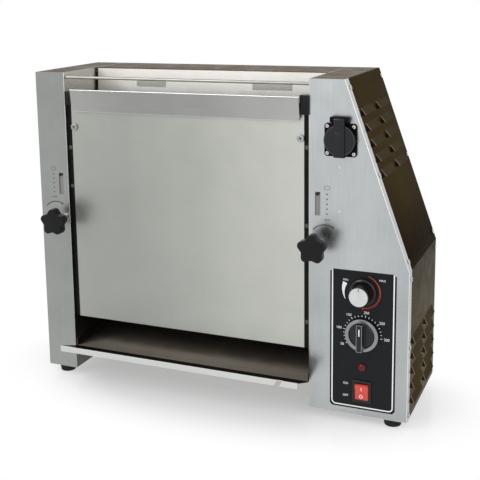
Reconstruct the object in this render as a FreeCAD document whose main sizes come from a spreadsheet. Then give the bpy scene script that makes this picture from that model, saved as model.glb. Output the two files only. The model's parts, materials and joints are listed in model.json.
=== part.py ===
import FreeCAD
import Part
import Sketcher
import math
import os
import re

# Vertical conveyor toaster: two columns, a hot bay between them with a heated platen and two swinging
# belt frames, and a slide-out tray. +Z is up, the front faces -Y, millimetres.
# The origin lies under the middle of the object's outer box, on the plane the feet stand on.

SIZES = {
    # columns and sheet
    "body_width": 645, "body_height": 525, "body_depth": 208, "skin": 1.2,
    "left_column": 56.5, "right_column": 157, "right_top": 56, "knee_height": 239,
    "flange_depth": 17, "seam": 0.3, "lap": 12,
    # feet
    "foot_height": 14, "foot_radius": 15, "foot_taper": 2, "foot_inset": 26, "foot_setback": 20,
    "foot_stud": 3, "stud_length": 6,
    # louvres of the right side
    "louvre_rise": 5, "louvre_half": 7, "louvre_length": 65, "louvre_setback": 30, "louvre_pitch": 24.4,
    "louvre_step": 91, "louvre_drop": 54, "louvre_low": 27, "louvre_count": 5,
    # small screws and rivets
    "shank": 1.5, "shank_play": 0.95, "side_head": 1.6, "side_head_radius": 3.6, "screw_setback": 12.5,
    "screw_back": 8, "pan_head": 3, "pan_radius": 6, "rivet_radius": 2.4, "rivet_head": 1, "rivet_in": 49.3,
    # front cover and its rails
    "cover_inset": 5, "cover_gap": 9, "cover_low": 97, "cover_high": 470, "cover_return": 26,
    "cover_screw_in": 5.4, "cover_screw_height": 433, "rail_face": 20, "rail_side": 7,
    # feed opening
    "lip_end": 14.3, "lip_low": 460, "lip_height": 37.5, "lip_lean": 7, "lip_forward": 1.5,
    "lip_corner": 5, "hem": 2.6, "hem_height": 5, "block_height": 30, "block_forward": 4, "block_drop": 7,
    "block_back": 18, "block_lug": 9, "guard_radius": 2.5, "guard_setback": 6, "guard_drop": 8.2,
    "roof_setback": 108, "roof_lip": 9, "guide_low": 474, "guide_forward": 4, "guide_gap": 4.3,
    "tab_height": 11, "tab_level": 494, "tab_proud": 1, "tab_start": 140, "tab_length": 55,
    "tag_start": 357, "tag_length": 68,
    # platen
    "platen_middle": 72, "platen_thick": 24, "platen_low": 115, "platen_shoulder": 455,
    "platen_ridge": 15, "platen_tip": 2, "platen_end": 15.5, "element_radius": 4, "element_count": 5,
    "element_low": 160, "element_pitch": 65, "element_left": 12, "element_right": 4,
    "element_hole": 5, "bracket_block": 12, "bracket_low": 130, "bracket_high": 438,
    "sheet_gap": 0.3, "sheet_thick": 0.5, "sheet_hang": 128,
    # belt frames, rollers and belts
    "lane_offset": 50, "drive_level": 440, "idler_level": 112, "belt_outer": 13, "belt_thick": 1.2,
    "belt_gap": 0.3, "belt_end": 16, "roller_end": 12, "shaft_radius": 5, "running_play": 0.06,
    "frame_plate": 2, "frame_gap": 3.5, "frame_half": 9, "cross_bar": 11, "cross_bar_count": 3,
    "cross_bar_low": 185, "cross_bar_pitch": 85, "frame_pin": 3, "pin_play": 0.35, "pin_reach": 6,
    "bush_radius": 8, "bush_inside": 2, "bush_outside": 4,
    # chain drive
    "sprocket_offset": 9, "tooth_thick": 2.8, "tooth_count": 12, "chain_pitch": 8, "root_cut": 2.2,
    "tooth_top": 1.8, "sprocket_hub": 8, "hub_length": 9, "link_half": 3, "link_thick": 1,
    "link_gap": 0.4, "chain_pin": 1.1, "motor_setback": 160, "motor_level": 405,
    "motor_plate": 16, "motor_plate_thick": 2, "motor_shaft": 12, "gearbox_length": 30, "gearbox_half": 26,
    "can_radius": 21, "can_length": 34, "post_radius": 3,
    # gap adjusters
    "left_spindle_in": 48, "left_spindle_level": 275, "right_spindle_in": 18,
    "right_spindle_level": 273, "spindle_radius": 5.2, "nut_radius": 7, "nut_length": 10,
    "knob_reach_left": 36, "knob_reach_right": 38, "star_thick": 16, "star_hub": 15,
    "star_lobe": 7, "star_radius": 15.8, "star_valley": 16.8, "star_count": 5, "star_collar": 8,
    "collar_length": 6,
    "yoke_half": 6, "yoke_deep": 8, "yoke_tall": 14, "yoke_slot": 11, "swing_travel": 12,
    "pointer_travel": 31, "pointer_top": 349.5, "scale_slot": 8.5, "scale_low": 315.5,
    "scale_high": 352.5, "scale_in": 14.2, "pointer_head": 2.6, "pointer_stem": 1.8,
    "slider_gap": 0.3, "slider_thick": 1.6, "slider_half": 5.5, "cam_plate": 2, "cam_pin": 2,
    "cam_play": 0.4, "cam_edge": 4, "follower_setback": 22,
    # control label and what it carries
    "label_middle": 86.6, "label_width": 103, "label_height": 223, "label_low": 11,
    "label_thick": 0.8, "label_corner": 4, "speed_level": 201.5, "thermo_level": 134, "lamp_level": 80.5,
    "switch_level": 40.8, "dial_shaft": 3, "dial_hole": 4, "dial_gap": 0.3, "speed_skirt": 21.5,
    "speed_skirt_thick": 3, "speed_radius": 18, "speed_face": 15.8, "speed_height": 27,
    "thermo_radius": 26.3, "thermo_ring": 6.5, "thermo_inner": 20, "thermo_grip": 21,
    "thermo_grip_half": 4.6, "thermo_grip_reach": 22, "unit_width": 42, "unit_tall": 34,
    "unit_deep": 28, "lamp_radius": 6.5, "lamp_dome": 5, "lamp_stem": 5, "lamp_deep": 20,
    "switch_width": 30, "switch_height": 36, "switch_bezel": 2, "switch_wall": 2,
    "switch_deep": 22, "rocker_width": 20.4, "rocker_height": 24.6, "rocker_tilt": 7,
    "rocker_window": 21, "rocker_window_height": 27.4, "rocker_axis": 3, "rocker_face": 7.4,
    "rocker_dip": 1.6,
    # mains socket
    "socket_in": 50.5, "socket_level": 434.5, "socket_flange": 50, "socket_plate": 3,
    "socket_cup": 21, "socket_deep": 32, "socket_bore": 18, "socket_recess": 20,
    "contact_radius": 2.4, "contact_spacing": 19, "socket_screw": 20.5, "lid_radius": 24.3,
    "lid_thick": 7, "lid_gap": 0.3, "lid_axis": 30.5, "lid_strap": 9, "strap_low": 25.5, "knuckle": 5,
    "knuckle_half": 8.6, "ear_length": 5, "lid_pin": 2,
    # tray
    "tray_reach": 50, "tray_level": 41, "tray_rise": 18, "tray_side_gap": 1.5, "tray_back": 12,
    "tray_wall": 14, "tray_lip": 10, "tray_notch_in": 42, "tray_notch": 9, "runner_width": 8,
    "runner_gap": 0.3, "runner_leg": 9, "runner_front": 4,
    # back panel
    "gland_reach": 12, "gland_radius": 11, "gland_bore": 4, "gland_thread": 8, "gland_in": 60,
    "gland_level": 40, "gland_nut": 5, "vent_length": 60, "vent_height": 5, "vent_pitch": 14,
    "vent_count": 8, "vent_low": 90, "bay_vent_low": 330, "vent_in": 45, "bay_vent_in": 40,
}

# Places that follow from the sizes above.
PLACES = {
    "left": "-(body_width + louvre_rise - side_head) / 2",
    "right": "left + body_width",
    "front": "(tray_reach - body_depth - gland_reach) / 2",
    "back": "front + body_depth",
    "base": "foot_height",
    "crown": "foot_height + body_height",
    "knee": "base + knee_height",
    "bay_left": "left + left_column",
    "bay_right": "right - right_column",
    "top_right": "bay_right + right_top",
    "slant": "atan((right_column - right_top) / (body_height - knee_height))",
    "cover_face": "front + cover_inset",
    "front_axis": "front + platen_middle - lane_offset",
    "rear_axis": "front + platen_middle + lane_offset",
    "drive_z": "base + drive_level",
    "idler_z": "base + idler_level",
    "roller_radius": "belt_outer - belt_thick - belt_gap",
    "left_spindle_x": "left + left_spindle_in",
    "left_spindle_z": "base + left_spindle_level",
    "right_spindle_x": "bay_right + right_spindle_in",
    "right_spindle_z": "base + right_spindle_level",
    "left_scale_x": "bay_left - scale_in",
    "right_scale_x": "bay_right + scale_in",
    "pointer_z": "base + pointer_top",
    "follower_y": "front + follower_setback",
    "label_x": "bay_right + label_middle",
    "label_face": "front - label_thick",
    "socket_x": "bay_right + socket_in",
    "socket_z": "base + socket_level",
    "tray_z": "base + tray_level",
    "pitch_radius": "chain_pitch / (2 * sin(180 / tooth_count))",
    "sprocket_x": "bay_right + sprocket_offset",
    "motor_y": "front + motor_setback",
    "motor_z": "base + motor_level",
    "platen_y": "front + platen_middle",
    "roof_y": "front + roof_setback",
}

doc = FreeCAD.newDocument("VerticalToaster")
sheet = doc.addObject("Spreadsheet::Sheet", "Sizes")
for row, (alias, number) in enumerate(SIZES.items(), start=1):
    sheet.set("A%d" % row, alias)
    sheet.set("B%d" % row, str(number))
    sheet.setAlias("B%d" % row, alias)
doc.recompute()

pieces = []


def full(text):
    """Writes a size or place out in the sheet's cells."""
    def word(found):
        name = found.group(0)
        if name in PLACES:
            return "(" + full(PLACES[name]) + ")"
        if name in SIZES:
            return "Sizes." + name
        return name
    return re.sub(r"[A-Za-z_][A-Za-z_0-9]*", word, str(text))


def value(text):
    """The number that a size or place has now."""
    found = sheet.evalExpression(full(text))
    return float(getattr(found, "Value", found))


def bind(item, settings):
    for name, text in settings.items():
        item.setExpression(name, full(text))


def piece(item, label):
    item.Label = label
    pieces.append(item)
    return item


# Rotations that carry an upright axis onto another axis.
TURNS = {
    "+Z": FreeCAD.Rotation(),
    "+X": FreeCAD.Rotation(FreeCAD.Vector(0, 1, 0), 90),
    "-X": FreeCAD.Rotation(FreeCAD.Vector(0, 1, 0), -90),
    "+Y": FreeCAD.Rotation(FreeCAD.Vector(1, 0, 0), -90),
    "-Y": FreeCAD.Rotation(FreeCAD.Vector(1, 0, 0), 90),
}


def seat(item, x, y, z, turn="+Z"):
    item.Placement = FreeCAD.Placement(FreeCAD.Vector(), TURNS[turn])
    bind(item, {"Placement.Base.x": x, "Placement.Base.y": y, "Placement.Base.z": z})
    return item


def block(name, x0, x1, y0, y1, z0, z1):
    item = doc.addObject("Part::Box", name)
    bind(item, {"Length": "(%s) - (%s)" % (x1, x0), "Width": "(%s) - (%s)" % (y1, y0),
                "Height": "(%s) - (%s)" % (z1, z0)})
    return seat(item, x0, y0, z0)


def rod(name, turn, x, y, z, radius, length):
    item = doc.addObject("Part::Cylinder", name)
    bind(item, {"Radius": radius, "Height": length})
    return seat(item, x, y, z, turn)


def joined(name, items):
    item = doc.addObject("Part::MultiFuse", name)
    item.Shapes = items
    return item


def cut(name, item, tool):
    result = doc.addObject("Part::Cut", name)
    result.Base = item
    result.Tool = tool
    return result


def group(name, items):
    item = doc.addObject("Part::Compound", name)
    item.Links = items
    return item


def draw_outline(sketch, points):
    """A closed outline whose corners are held at their sizes from the origin."""
    spots = [FreeCAD.Vector(value(u), value(v), 0) for u, v in points]
    count = len(spots)
    first = sketch.GeometryCount
    lines = [Part.LineSegment(spots[i], spots[(i + 1) % count]) for i in range(count)]
    sketch.addGeometry(lines, False)
    sketch.addConstraint([Sketcher.Constraint("Coincident", first + i, 2, first + (i + 1) % count, 1)
                          for i in range(count)])
    for i, (u, v) in enumerate(points):
        hold_point(sketch, first + i, 1, u, v)


def hold_point(sketch, edge, end, u, v):
    for kind, text in (("DistanceX", u), ("DistanceY", v)):
        index = sketch.addConstraint(Sketcher.Constraint(kind, -1, 1, edge, end, value(text)))
        sketch.setExpression("Constraints[%d]" % index, full(text))


def draw_circle(sketch, u, v, radius):
    centre = FreeCAD.Vector(value(u), value(v), 0)
    edge = sketch.addGeometry(Part.Circle(centre, FreeCAD.Vector(0, 0, 1), value(radius)), False)
    hold_point(sketch, edge, 3, u, v)
    index = sketch.addConstraint(Sketcher.Constraint("Radius", edge, value(radius)))
    sketch.setExpression("Constraints[%d]" % index, full(radius))


def drawing(body, plane, level, outlines, circles):
    """A sketch on a plane that lies at a level along the plane's third axis."""
    sketch = body.newObject("Sketcher::SketchObject", body.Name + "_sketch")
    origin = next(item for item in body.Origin.OriginFeatures if item.Role == plane + "_Plane")
    sketch.AttachmentSupport = [(origin, "")]
    sketch.MapMode = "FlatFace"
    sign = "-" if plane == "XZ" else ""
    sketch.setExpression("AttachmentOffset.Base.z", full("%s(%s)" % (sign, level)))
    for points in outlines:
        draw_outline(sketch, points)
    for u, v, radius in circles:
        draw_circle(sketch, u, v, radius)
    return sketch


def add_pad(body, plane, level, length, outlines=(), circles=()):
    """Adds material from the level towards the positive axis."""
    sketch = drawing(body, plane, level, outlines, circles)
    pad = body.newObject("PartDesign::Pad", body.Name + "_pad")
    pad.Profile = sketch
    pad.Reversed = plane == "XZ"
    bind(pad, {"Length": length})
    return pad


def add_pocket(body, plane, level, length, outlines=(), circles=()):
    """Takes material away from the level towards the positive axis."""
    sketch = drawing(body, plane, level, outlines, circles)
    pocket = body.newObject("PartDesign::Pocket", body.Name + "_pocket")
    pocket.Profile = sketch
    pocket.Reversed = plane != "XZ"
    bind(pocket, {"Length": length})
    return pocket


def plate(name, plane, level, length, outlines, circles=()):
    body = doc.addObject("PartDesign::Body", name)
    add_pad(body, plane, level, length, outlines, circles)
    return body


def turned(name, turn, x, y, z, profile):
    """A round piece from (radius, height) corners, set on its axis."""
    body = doc.addObject("PartDesign::Body", name)
    sketch = drawing(body, "XZ", "0", [profile], [])
    revolution = body.newObject("PartDesign::Revolution", name + "_revolution")
    revolution.Profile = sketch
    revolution.ReferenceAxis = (sketch, ["V_Axis"])
    revolution.Angle = 360
    return seat(body, x, y, z, turn)


def repeat(body, features, sketch, axis, length, count):
    """Repeats features in a row along one of the sketch's axes."""
    pattern = body.newObject("PartDesign::LinearPattern", body.Name + "_row")
    pattern.Originals = features
    pattern.Direction = (sketch, [axis])
    bind(pattern, {"Length": length, "Occurrences": count})
    body.Tip = pattern
    return pattern


def repeat_round(body, features, sketch, count):
    """Repeats features evenly round the sketch's normal."""
    pattern = body.newObject("PartDesign::PolarPattern", body.Name + "_ring")
    pattern.Originals = features
    pattern.Axis = (sketch, ["N_Axis"])
    pattern.Angle = 360
    bind(pattern, {"Occurrences": count})
    body.Tip = pattern
    return pattern


def rectangle(u0, u1, v0, v1):
    return [(u0, v0), (u1, v0), (u1, v1), (u0, v1)]


def clipped(u0, u1, v0, v1, corner):
    """A rectangle with its corners taken off."""
    return [(u0 + "+" + corner, v0), (u1 + "-" + corner, v0), (u1, v0 + "+" + corner),
            (u1, v1 + "-" + corner), (u1 + "-" + corner, v1), (u0 + "+" + corner, v1),
            (u0, v1 + "-" + corner), (u0, v0 + "+" + corner)]


def side_line(depth):
    """The right side's bent line, a depth inside its outer face, from the bottom up."""
    across = "(%s) / cos(slant)" % depth
    drop = "((%s) - (%s)) / tan(slant)" % (across, depth)
    return [("right - (%s)" % depth, "base"), ("right - (%s)" % depth, "knee - " + drop),
            ("top_right - " + across, "crown")]


def side_strip(outer, inner):
    return side_line(outer) + side_line(inner)[::-1]


def on_slope(down, out):
    """A point of the slanted side: a way down from its top edge and out from its face."""
    return ("top_right + (%s) * sin(slant) + (%s) * cos(slant)" % (down, out),
            "crown - (%s) * cos(slant) + (%s) * sin(slant)" % (down, out))


# Screw places. Front and back rows on each side, as (depth from the front, height or way down).
SCREW_ROWS = ("screw_setback", "body_depth - screw_back")
SLOPE_SCREWS = [(row, down) for row in SCREW_ROWS for down in ("13.4", "152", "289")]
LOW_SCREWS = [(row, high) for row in SCREW_ROWS for high in ("7.5", "117.4", "226")]
LEFT_SCREWS = [(row, high) for row in SCREW_ROWS for high in ("20", "185", "350", "505")]
LEFT_RAIL_SCREWS = ("330", "397")
RIGHT_RAIL_SCREWS = ("140", "296", "419")
RIVETS = ("324.1", "392.2")
CORNERS = ((-1, -1), (1, -1), (1, 1), (-1, 1))

fasteners = []


def screw(turn, x, y, z, head_radius, head, reach):
    """A screw whose head stands on a face and whose shank goes in behind it."""
    number = len(fasteners)
    top = rod("head%d" % number, turn, x, y, z, head_radius, head)
    under = {"+X": "-X", "-X": "+X", "+Y": "-Y", "-Y": "+Y"}[turn]
    stem = rod("stem%d" % number, under, x, y, z, "shank", reach)
    fasteners.extend([top, stem])


def slope_screw(y, down):
    x, z = on_slope(down, "0")
    number = len(fasteners)
    for name, radius, length, extra in (("head%d", "side_head_radius", "side_head", 0),
                                        ("stem%d", "shank", "skin * 2", 180)):
        item = doc.addObject("Part::Cylinder", name % number)
        bind(item, {"Radius": radius, "Height": length})
        item.Placement = FreeCAD.Placement(FreeCAD.Vector(), FreeCAD.Rotation(FreeCAD.Vector(0, 1, 0), 70))
        bind(item, {"Placement.Base.x": x, "Placement.Base.y": y, "Placement.Base.z": z,
                    "Placement.Rotation.Angle": "%d deg - slant" % (90 + extra)})
        fasteners.append(item)


def left_column():
    panel = plate("left_front_panel", "XZ", "front", "skin",
                  [rectangle("left", "bay_left", "base", "crown"),
                   rectangle("left_scale_x - scale_slot / 2", "left_scale_x + scale_slot / 2",
                             "base + scale_low", "base + scale_high")],
                  [("left_spindle_x", "left_spindle_z", "spindle_radius + 1")])
    add_pad(panel, "XZ", "front", "flange_depth", [rectangle("left", "left + skin", "base", "crown")])
    add_pocket(panel, "YZ", "left - 1", "skin + 2", (),
               [("front + screw_setback", "base + " + high, "shank + shank_play")
                for row, high in LEFT_SCREWS[:4]])
    piece(panel, "left_front_panel")

    side = plate("left_side_panel", "XZ", "front + flange_depth + seam",
                 "body_depth - flange_depth - seam - skin",
                 [rectangle("left", "left + skin", "base", "crown")])
    add_pad(side, "XZ", "front + skin + seam", "flange_depth + lap",
            [rectangle("left + skin", "left + skin * 2", "base + skin + seam", "crown - skin - seam")])
    add_pocket(side, "YZ", "left - 1", "skin * 2 + 2", (),
               [("front + " + row, "base + " + high, "shank + shank_play") for row, high in LEFT_SCREWS])
    piece(side, "left_side_panel")
    for row, high in LEFT_SCREWS:
        screw("-X", "left", "front + " + row, "base + " + high, "side_head_radius", "side_head", "skin * 2")

    cap = plate("left_top_cap", "XY", "crown - skin", "skin",
                [rectangle("left + skin", "bay_left - skin", "front + skin", "back - skin")])
    piece(cap, "left_top_cap")
    floor = plate("left_base_plate", "XY", "base", "skin",
                  [rectangle("left + skin", "bay_left - skin", "front + skin", "back - skin")],
                  [("left + foot_inset", "front + foot_setback", "foot_stud"),
                   ("left + foot_inset", "back - foot_setback", "foot_stud")])
    piece(floor, "left_base_plate")


def inner_wall(label, x0, pin_y, pin_z, pin_way):
    """A wall of the bay, with holes for the drive shafts and heating rods and a slot for a frame pin."""
    slot = "(frame_pin + pin_play)"
    if pin_way > 0:
        window = rectangle("%s - %s" % (pin_y, slot), "%s + swing_travel + %s" % (pin_y, slot),
                           "%s - %s - pin_play" % (pin_z, slot), "%s + %s + pin_play" % (pin_z, slot))
    else:
        window = rectangle("%s - swing_travel - %s" % (pin_y, slot), "%s + %s" % (pin_y, slot),
                           "%s - %s - pin_play" % (pin_z, slot), "%s + %s + pin_play" % (pin_z, slot))
    holes = [("front_axis", "drive_z", "bush_radius"), ("rear_axis", "drive_z", "bush_radius")]
    holes += [("platen_y", "base + element_low + %d * element_pitch" % i, "element_hole")
              for i in range(int(value("element_count")))]
    wall = plate(label, "YZ", x0, "skin",
                 [rectangle("front + skin", "back - skin", "base", "crown"), window], holes)
    piece(wall, label)


def right_column():
    outline = [("bay_right", "base"), ("right", "base"), ("right", "knee"), ("top_right", "crown"),
               ("bay_right", "crown")]
    holes = [("right_spindle_x", "right_spindle_z", "spindle_radius + 1"),
             ("socket_x", "socket_z", "socket_cup + seam"),
             ("label_x", "base + speed_level", "dial_hole"),
             ("label_x", "base + thermo_level", "dial_hole"),
             ("label_x", "base + lamp_level", "lamp_stem + seam")]
    holes += [("socket_x + %d * socket_screw" % u, "socket_z + %d * socket_screw" % v, "shank + seam")
              for u, v in CORNERS]
    holes += [("bay_right + rivet_in", "base + " + high, "shank + seam") for high in RIVETS]
    panel = plate("right_front_panel", "XZ", "front", "skin",
                  [outline,
                   rectangle("right_scale_x - scale_slot / 2", "right_scale_x + scale_slot / 2",
                             "base + scale_low", "base + scale_high"),
                   switch_window()], holes)
    add_pad(panel, "XZ", "front", "flange_depth", [side_strip("0", "skin")])
    add_pocket(panel, "YZ", "top_right - 5", "right - top_right + 10", (), right_screw_holes(0, 1))
    piece(panel, "right_front_panel")

    side = plate("right_side_panel", "XZ", "front + flange_depth + seam",
                 "body_depth - flange_depth - seam - skin", [side_strip("0", "skin")])
    add_pad(side, "XZ", "front + skin + seam", "flange_depth + lap",
            [clip_strip(side_strip("skin", "skin * 2"))])
    add_pocket(side, "YZ", "top_right - 5", "right - top_right + 10", (), right_screw_holes(0, 2))
    add_louvres(side)
    piece(side, "right_side_panel")
    for row, down in SLOPE_SCREWS:
        slope_screw("front + " + row, down)
    for row, high in LOW_SCREWS:
        screw("+X", "right", "front + " + row, "base + " + high, "side_head_radius", "side_head", "skin * 2")

    cap = plate("right_top_cap", "XY", "crown - skin", "skin",
                [rectangle("bay_right + skin", "top_right - skin * 2", "front + skin", "back - skin")])
    piece(cap, "right_top_cap")
    floor = plate("right_base_plate", "XY", "base", "skin",
                  [rectangle("bay_right + skin", "right - skin", "front + skin", "back - skin")],
                  [("right - foot_inset", "front + foot_setback", "foot_stud"),
                   ("right - foot_inset", "back - foot_setback", "foot_stud")])
    piece(floor, "right_base_plate")


def clip_strip(points):
    """Keeps a lap strip clear of the base plate and the top cap."""
    low = ("base", "base + skin + seam")
    high = ("crown", "crown - skin * 2")
    return [(u, low[1] if v == low[0] else high[1] if v == high[0] else v) for u, v in points]


def right_screw_holes(first, last):
    rows = SCREW_ROWS[first:last]
    slope = [("front + " + row, on_slope(down, "0")[1], "shank + shank_play")
             for row, down in SLOPE_SCREWS if row in rows]
    low = [("front + " + row, "base + " + high, "shank + shank_play")
           for row, high in LOW_SCREWS if row in rows]
    return slope + low


def add_louvres(side):
    """Pressed hoods, open below and closed at their ends, in two columns on the slope and under it."""
    hole = rectangle("-louvre_half + skin", "louvre_half - skin", "-skin - 0.5", "0.5")
    hood = [("-louvre_half", "-skin / 2"), ("louvre_half", "louvre_rise"),
            ("louvre_half", "louvre_rise - skin"), ("-louvre_half + skin * 2", "-skin / 2")]
    end = [("-louvre_half", "-skin / 2"), ("louvre_half", "louvre_rise"), ("louvre_half", "-skin / 2")]
    near, far = "front + louvre_setback", "front + louvre_setback + louvre_length - skin"
    pocket = add_pocket(side, "XZ", near + " + skin", "louvre_length - skin * 2", louvre_row(hole))
    pads = [add_pad(side, "XZ", near, "louvre_length", louvre_row(hood)),
            add_pad(side, "XZ", near, "skin", louvre_row(end)),
            add_pad(side, "XZ", far, "skin", louvre_row(end))]
    row = repeat(side, [pocket] + pads, pads[0].Profile[0], "N_Axis", "louvre_step", "2")
    row.Reversed = True


def louvre_row(shape):
    """One outline at every louvre's place, from ways down and out."""
    outlines = []
    for number in range(int(value("louvre_count"))):
        down = "louvre_drop + %d * louvre_pitch" % number
        high = "base + louvre_low + %d * louvre_pitch" % number
        outlines.append([on_slope("%s + %s" % (down, u), v) for u, v in shape])
        outlines.append([("right + " + v, "%s - (%s)" % (high, u)) for u, v in shape])
    return outlines


def switch_window():
    return rectangle("label_x - switch_width / 2 + switch_wall", "label_x + switch_width / 2 - switch_wall",
                     "base + switch_level - switch_height / 2 + switch_wall",
                     "base + switch_level + switch_height / 2 - switch_wall")


def feet():
    places = [(x, y) for x in ("left + foot_inset", "right - foot_inset")
              for y in ("front + foot_setback", "back - foot_setback")]
    items = []
    for number, (x, y) in enumerate(places):
        pad = doc.addObject("Part::Cone", "foot%d" % number)
        bind(pad, {"Radius1": "foot_radius - foot_taper", "Radius2": "foot_radius", "Height": "foot_height"})
        seat(pad, x, y, "0")
        stud = rod("stud%d" % number, "+Z", x, y, "foot_height", "foot_stud", "stud_length")
        items.append(joined("foot_stud%d" % number, [pad, stud]))
    piece(group("feet", items), "feet")


def rear_and_roof():
    outline = [("left", "base"), ("right", "base"), ("right", "knee"), ("top_right", "crown"),
               ("left", "crown")]
    vents = []
    for number in range(int(value("vent_count"))):
        for x, low in (("bay_right + vent_in", "vent_low"),
                       ("-vent_length - bay_vent_in", "bay_vent_low"),
                       ("vent_length - bay_vent_in", "bay_vent_low")):
            z = "base + %s + %d * vent_pitch" % (low, number)
            vents.append(rectangle(x, x + " + vent_length", z, z + " + vent_height"))
    panel = plate("rear_panel", "XZ", "back - skin", "skin", [outline] + vents,
                  [("right - gland_in", "base + gland_level", "gland_thread")])
    piece(panel, "rear_panel")
    roof = plate("rear_top_plate", "YZ", "bay_left", "bay_right - bay_left",
                 [[("roof_y", "crown - roof_lip"), ("roof_y + skin", "crown - roof_lip"),
                   ("roof_y + skin", "crown - skin"), ("back - skin", "crown - skin"),
                   ("back - skin", "crown"), ("roof_y", "crown")]])
    piece(roof, "rear_top_plate")

    gland = turned("cord_gland", "+Y", "right - gland_in", "back", "base + gland_level",
                   [("gland_bore", "-skin - gland_nut"), ("gland_thread", "-skin - gland_nut"),
                    ("gland_thread", "0"), ("gland_radius", "0"), ("gland_radius", "gland_reach * 0.5"),
                    ("gland_radius - 2", "gland_reach"), ("gland_bore", "gland_reach")])
    piece(gland, "cord_gland")


def front_cover():
    x0, x1 = "bay_left + cover_gap", "bay_right - cover_gap"
    low, high = "base + cover_low", "base + cover_high"
    cover = plate("front_cover", "XZ", "cover_face", "skin", [rectangle(x0, x1, low, high)],
                  [(x0 + " + cover_screw_in", "base + cover_screw_height", "shank + seam"),
                   (x1 + " - cover_screw_in", "base + cover_screw_height", "shank + seam")])
    inner0, inner1 = "bay_left + rail_face + seam", "bay_right - rail_face - seam"
    add_pad(cover, "XZ", "cover_face", "cover_return",
            [rectangle(inner0, inner1, high + " - skin", high)])
    add_pad(cover, "XZ", "cover_face", "skin * 2", [rectangle(inner0, inner1, low, low + " + 8")])
    piece(cover, "front_cover")
    for x in (x0 + " + cover_screw_in", x1 + " - cover_screw_in"):
        screw("-Y", x, "cover_face", "base + cover_screw_height", "pan_radius", "pan_head", "skin * 2")

    rails = []
    for name, wall, way, screws in (("rail_left", "bay_left", "+", LEFT_RAIL_SCREWS),
                                    ("rail_right", "bay_right", "-", RIGHT_RAIL_SCREWS)):
        face = "%s %s rail_face" % (wall, way)
        ply = "%s %s skin" % (wall, way)
        y0 = "cover_face + skin"
        screw_x = "%s %s cover_gap / 2" % (wall, way)
        cover_screw_x = "%s %s (cover_gap + cover_screw_in)" % (wall, way)
        rail = plate(name, "XY", low, "cover_high - cover_low",
                     [[(wall, y0), (face, y0), (face, y0 + " + skin"), (ply, y0 + " + skin"),
                       (ply, y0 + " + rail_side"), (wall, y0 + " + rail_side")]])
        add_pocket(rail, "XZ", y0 + " - 1", "skin + 2", (),
                   [(screw_x, "base + " + high_at, "shank + seam") for high_at in screws]
                   + [(cover_screw_x, "base + cover_screw_height", "shank + seam")])
        rails.append(rail)
        for high_at in screws:
            screw("-Y", screw_x, y0, "base + " + high_at, "side_head_radius", "side_head", "skin")
    piece(group("cover_rails", rails), "cover_rails")


def feed_opening():
    lip = doc.addObject("PartDesign::Body", "feed_lip")
    x0, x1 = "bay_left + lip_end", "bay_right - lip_end"
    add_pad(lip, "XZ", "0", "skin",
            [[(x0 + " + lip_corner", "0"), (x1 + " - lip_corner", "0"),
              (x1 + " - lip_corner * 0.3", "lip_corner * 0.3"), (x1, "lip_corner"), (x1, "lip_height"),
              (x0, "lip_height"), (x0, "lip_corner"), (x0 + " + lip_corner * 0.3", "lip_corner * 0.3")]])
    add_pad(lip, "XZ", "0", "hem", [rectangle(x0, x1, "lip_height - hem_height", "lip_height")])
    lip.Placement = FreeCAD.Placement(FreeCAD.Vector(), FreeCAD.Rotation(FreeCAD.Vector(1, 0, 0), 7))
    bind(lip, {"Placement.Base.y": "front - lip_forward", "Placement.Base.z": "base + lip_low",
               "Placement.Rotation.Angle": "lip_lean"})
    piece(lip, "feed_lip")

    ends = []
    low = "base + cover_high"
    for name, wall, way, forward, height in (
            ("end_left", "bay_left", "+", "0", "block_height - block_drop"),
            ("end_right", "bay_right", "-", "block_forward", "block_height")):
        side = "%s %s (lip_end - seam)" % (wall, way)
        tip = "%s %s (lip_end + block_lug)" % (wall, way)
        end = plate(name, "XY", low, height,
                    [[(wall, "front - " + forward), (side, "front + 2 - " + forward),
                      (side, "front + block_back"), (wall, "front + block_back")]])
        add_pad(end, "XY", low, "block_height * 0.6",
                [rectangle("%s %s skin" % (wall, way), tip, "front - lip_forward + skin + seam",
                           "front + 4")])
        ends.append(end)
    piece(group("lip_end_blocks", ends), "lip_end_blocks")

    guard = rod("guard_rod", "+X", "bay_left", "front + guard_setback", "crown - guard_drop",
                "guard_radius", "bay_right - bay_left")
    piece(guard, "guard_rod")

    x0, x1 = "bay_left + guide_gap", "bay_right - seam"
    high, low = "crown - skin - seam", "base + guide_low"
    guide = plate("rear_guide_plate", "YZ", x0, "(%s) - (%s)" % (x1, x0),
                  [[("roof_y - guide_forward - skin", low), ("roof_y - guide_forward", low),
                    ("roof_y - seam", high), ("roof_y - seam - skin", high)]])
    face = "roof_y - guide_forward - skin"
    for start, length in (("tab_start", "tab_length"), ("tag_start", "tag_length")):
        add_pad(guide, "XZ", face, "guide_forward - tab_proud",
                [rectangle("left + " + start, "left + %s + %s" % (start, length), "base + tab_level",
                           "base + tab_level + tab_height")])
    piece(guide, "rear_guide_plate")


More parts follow.
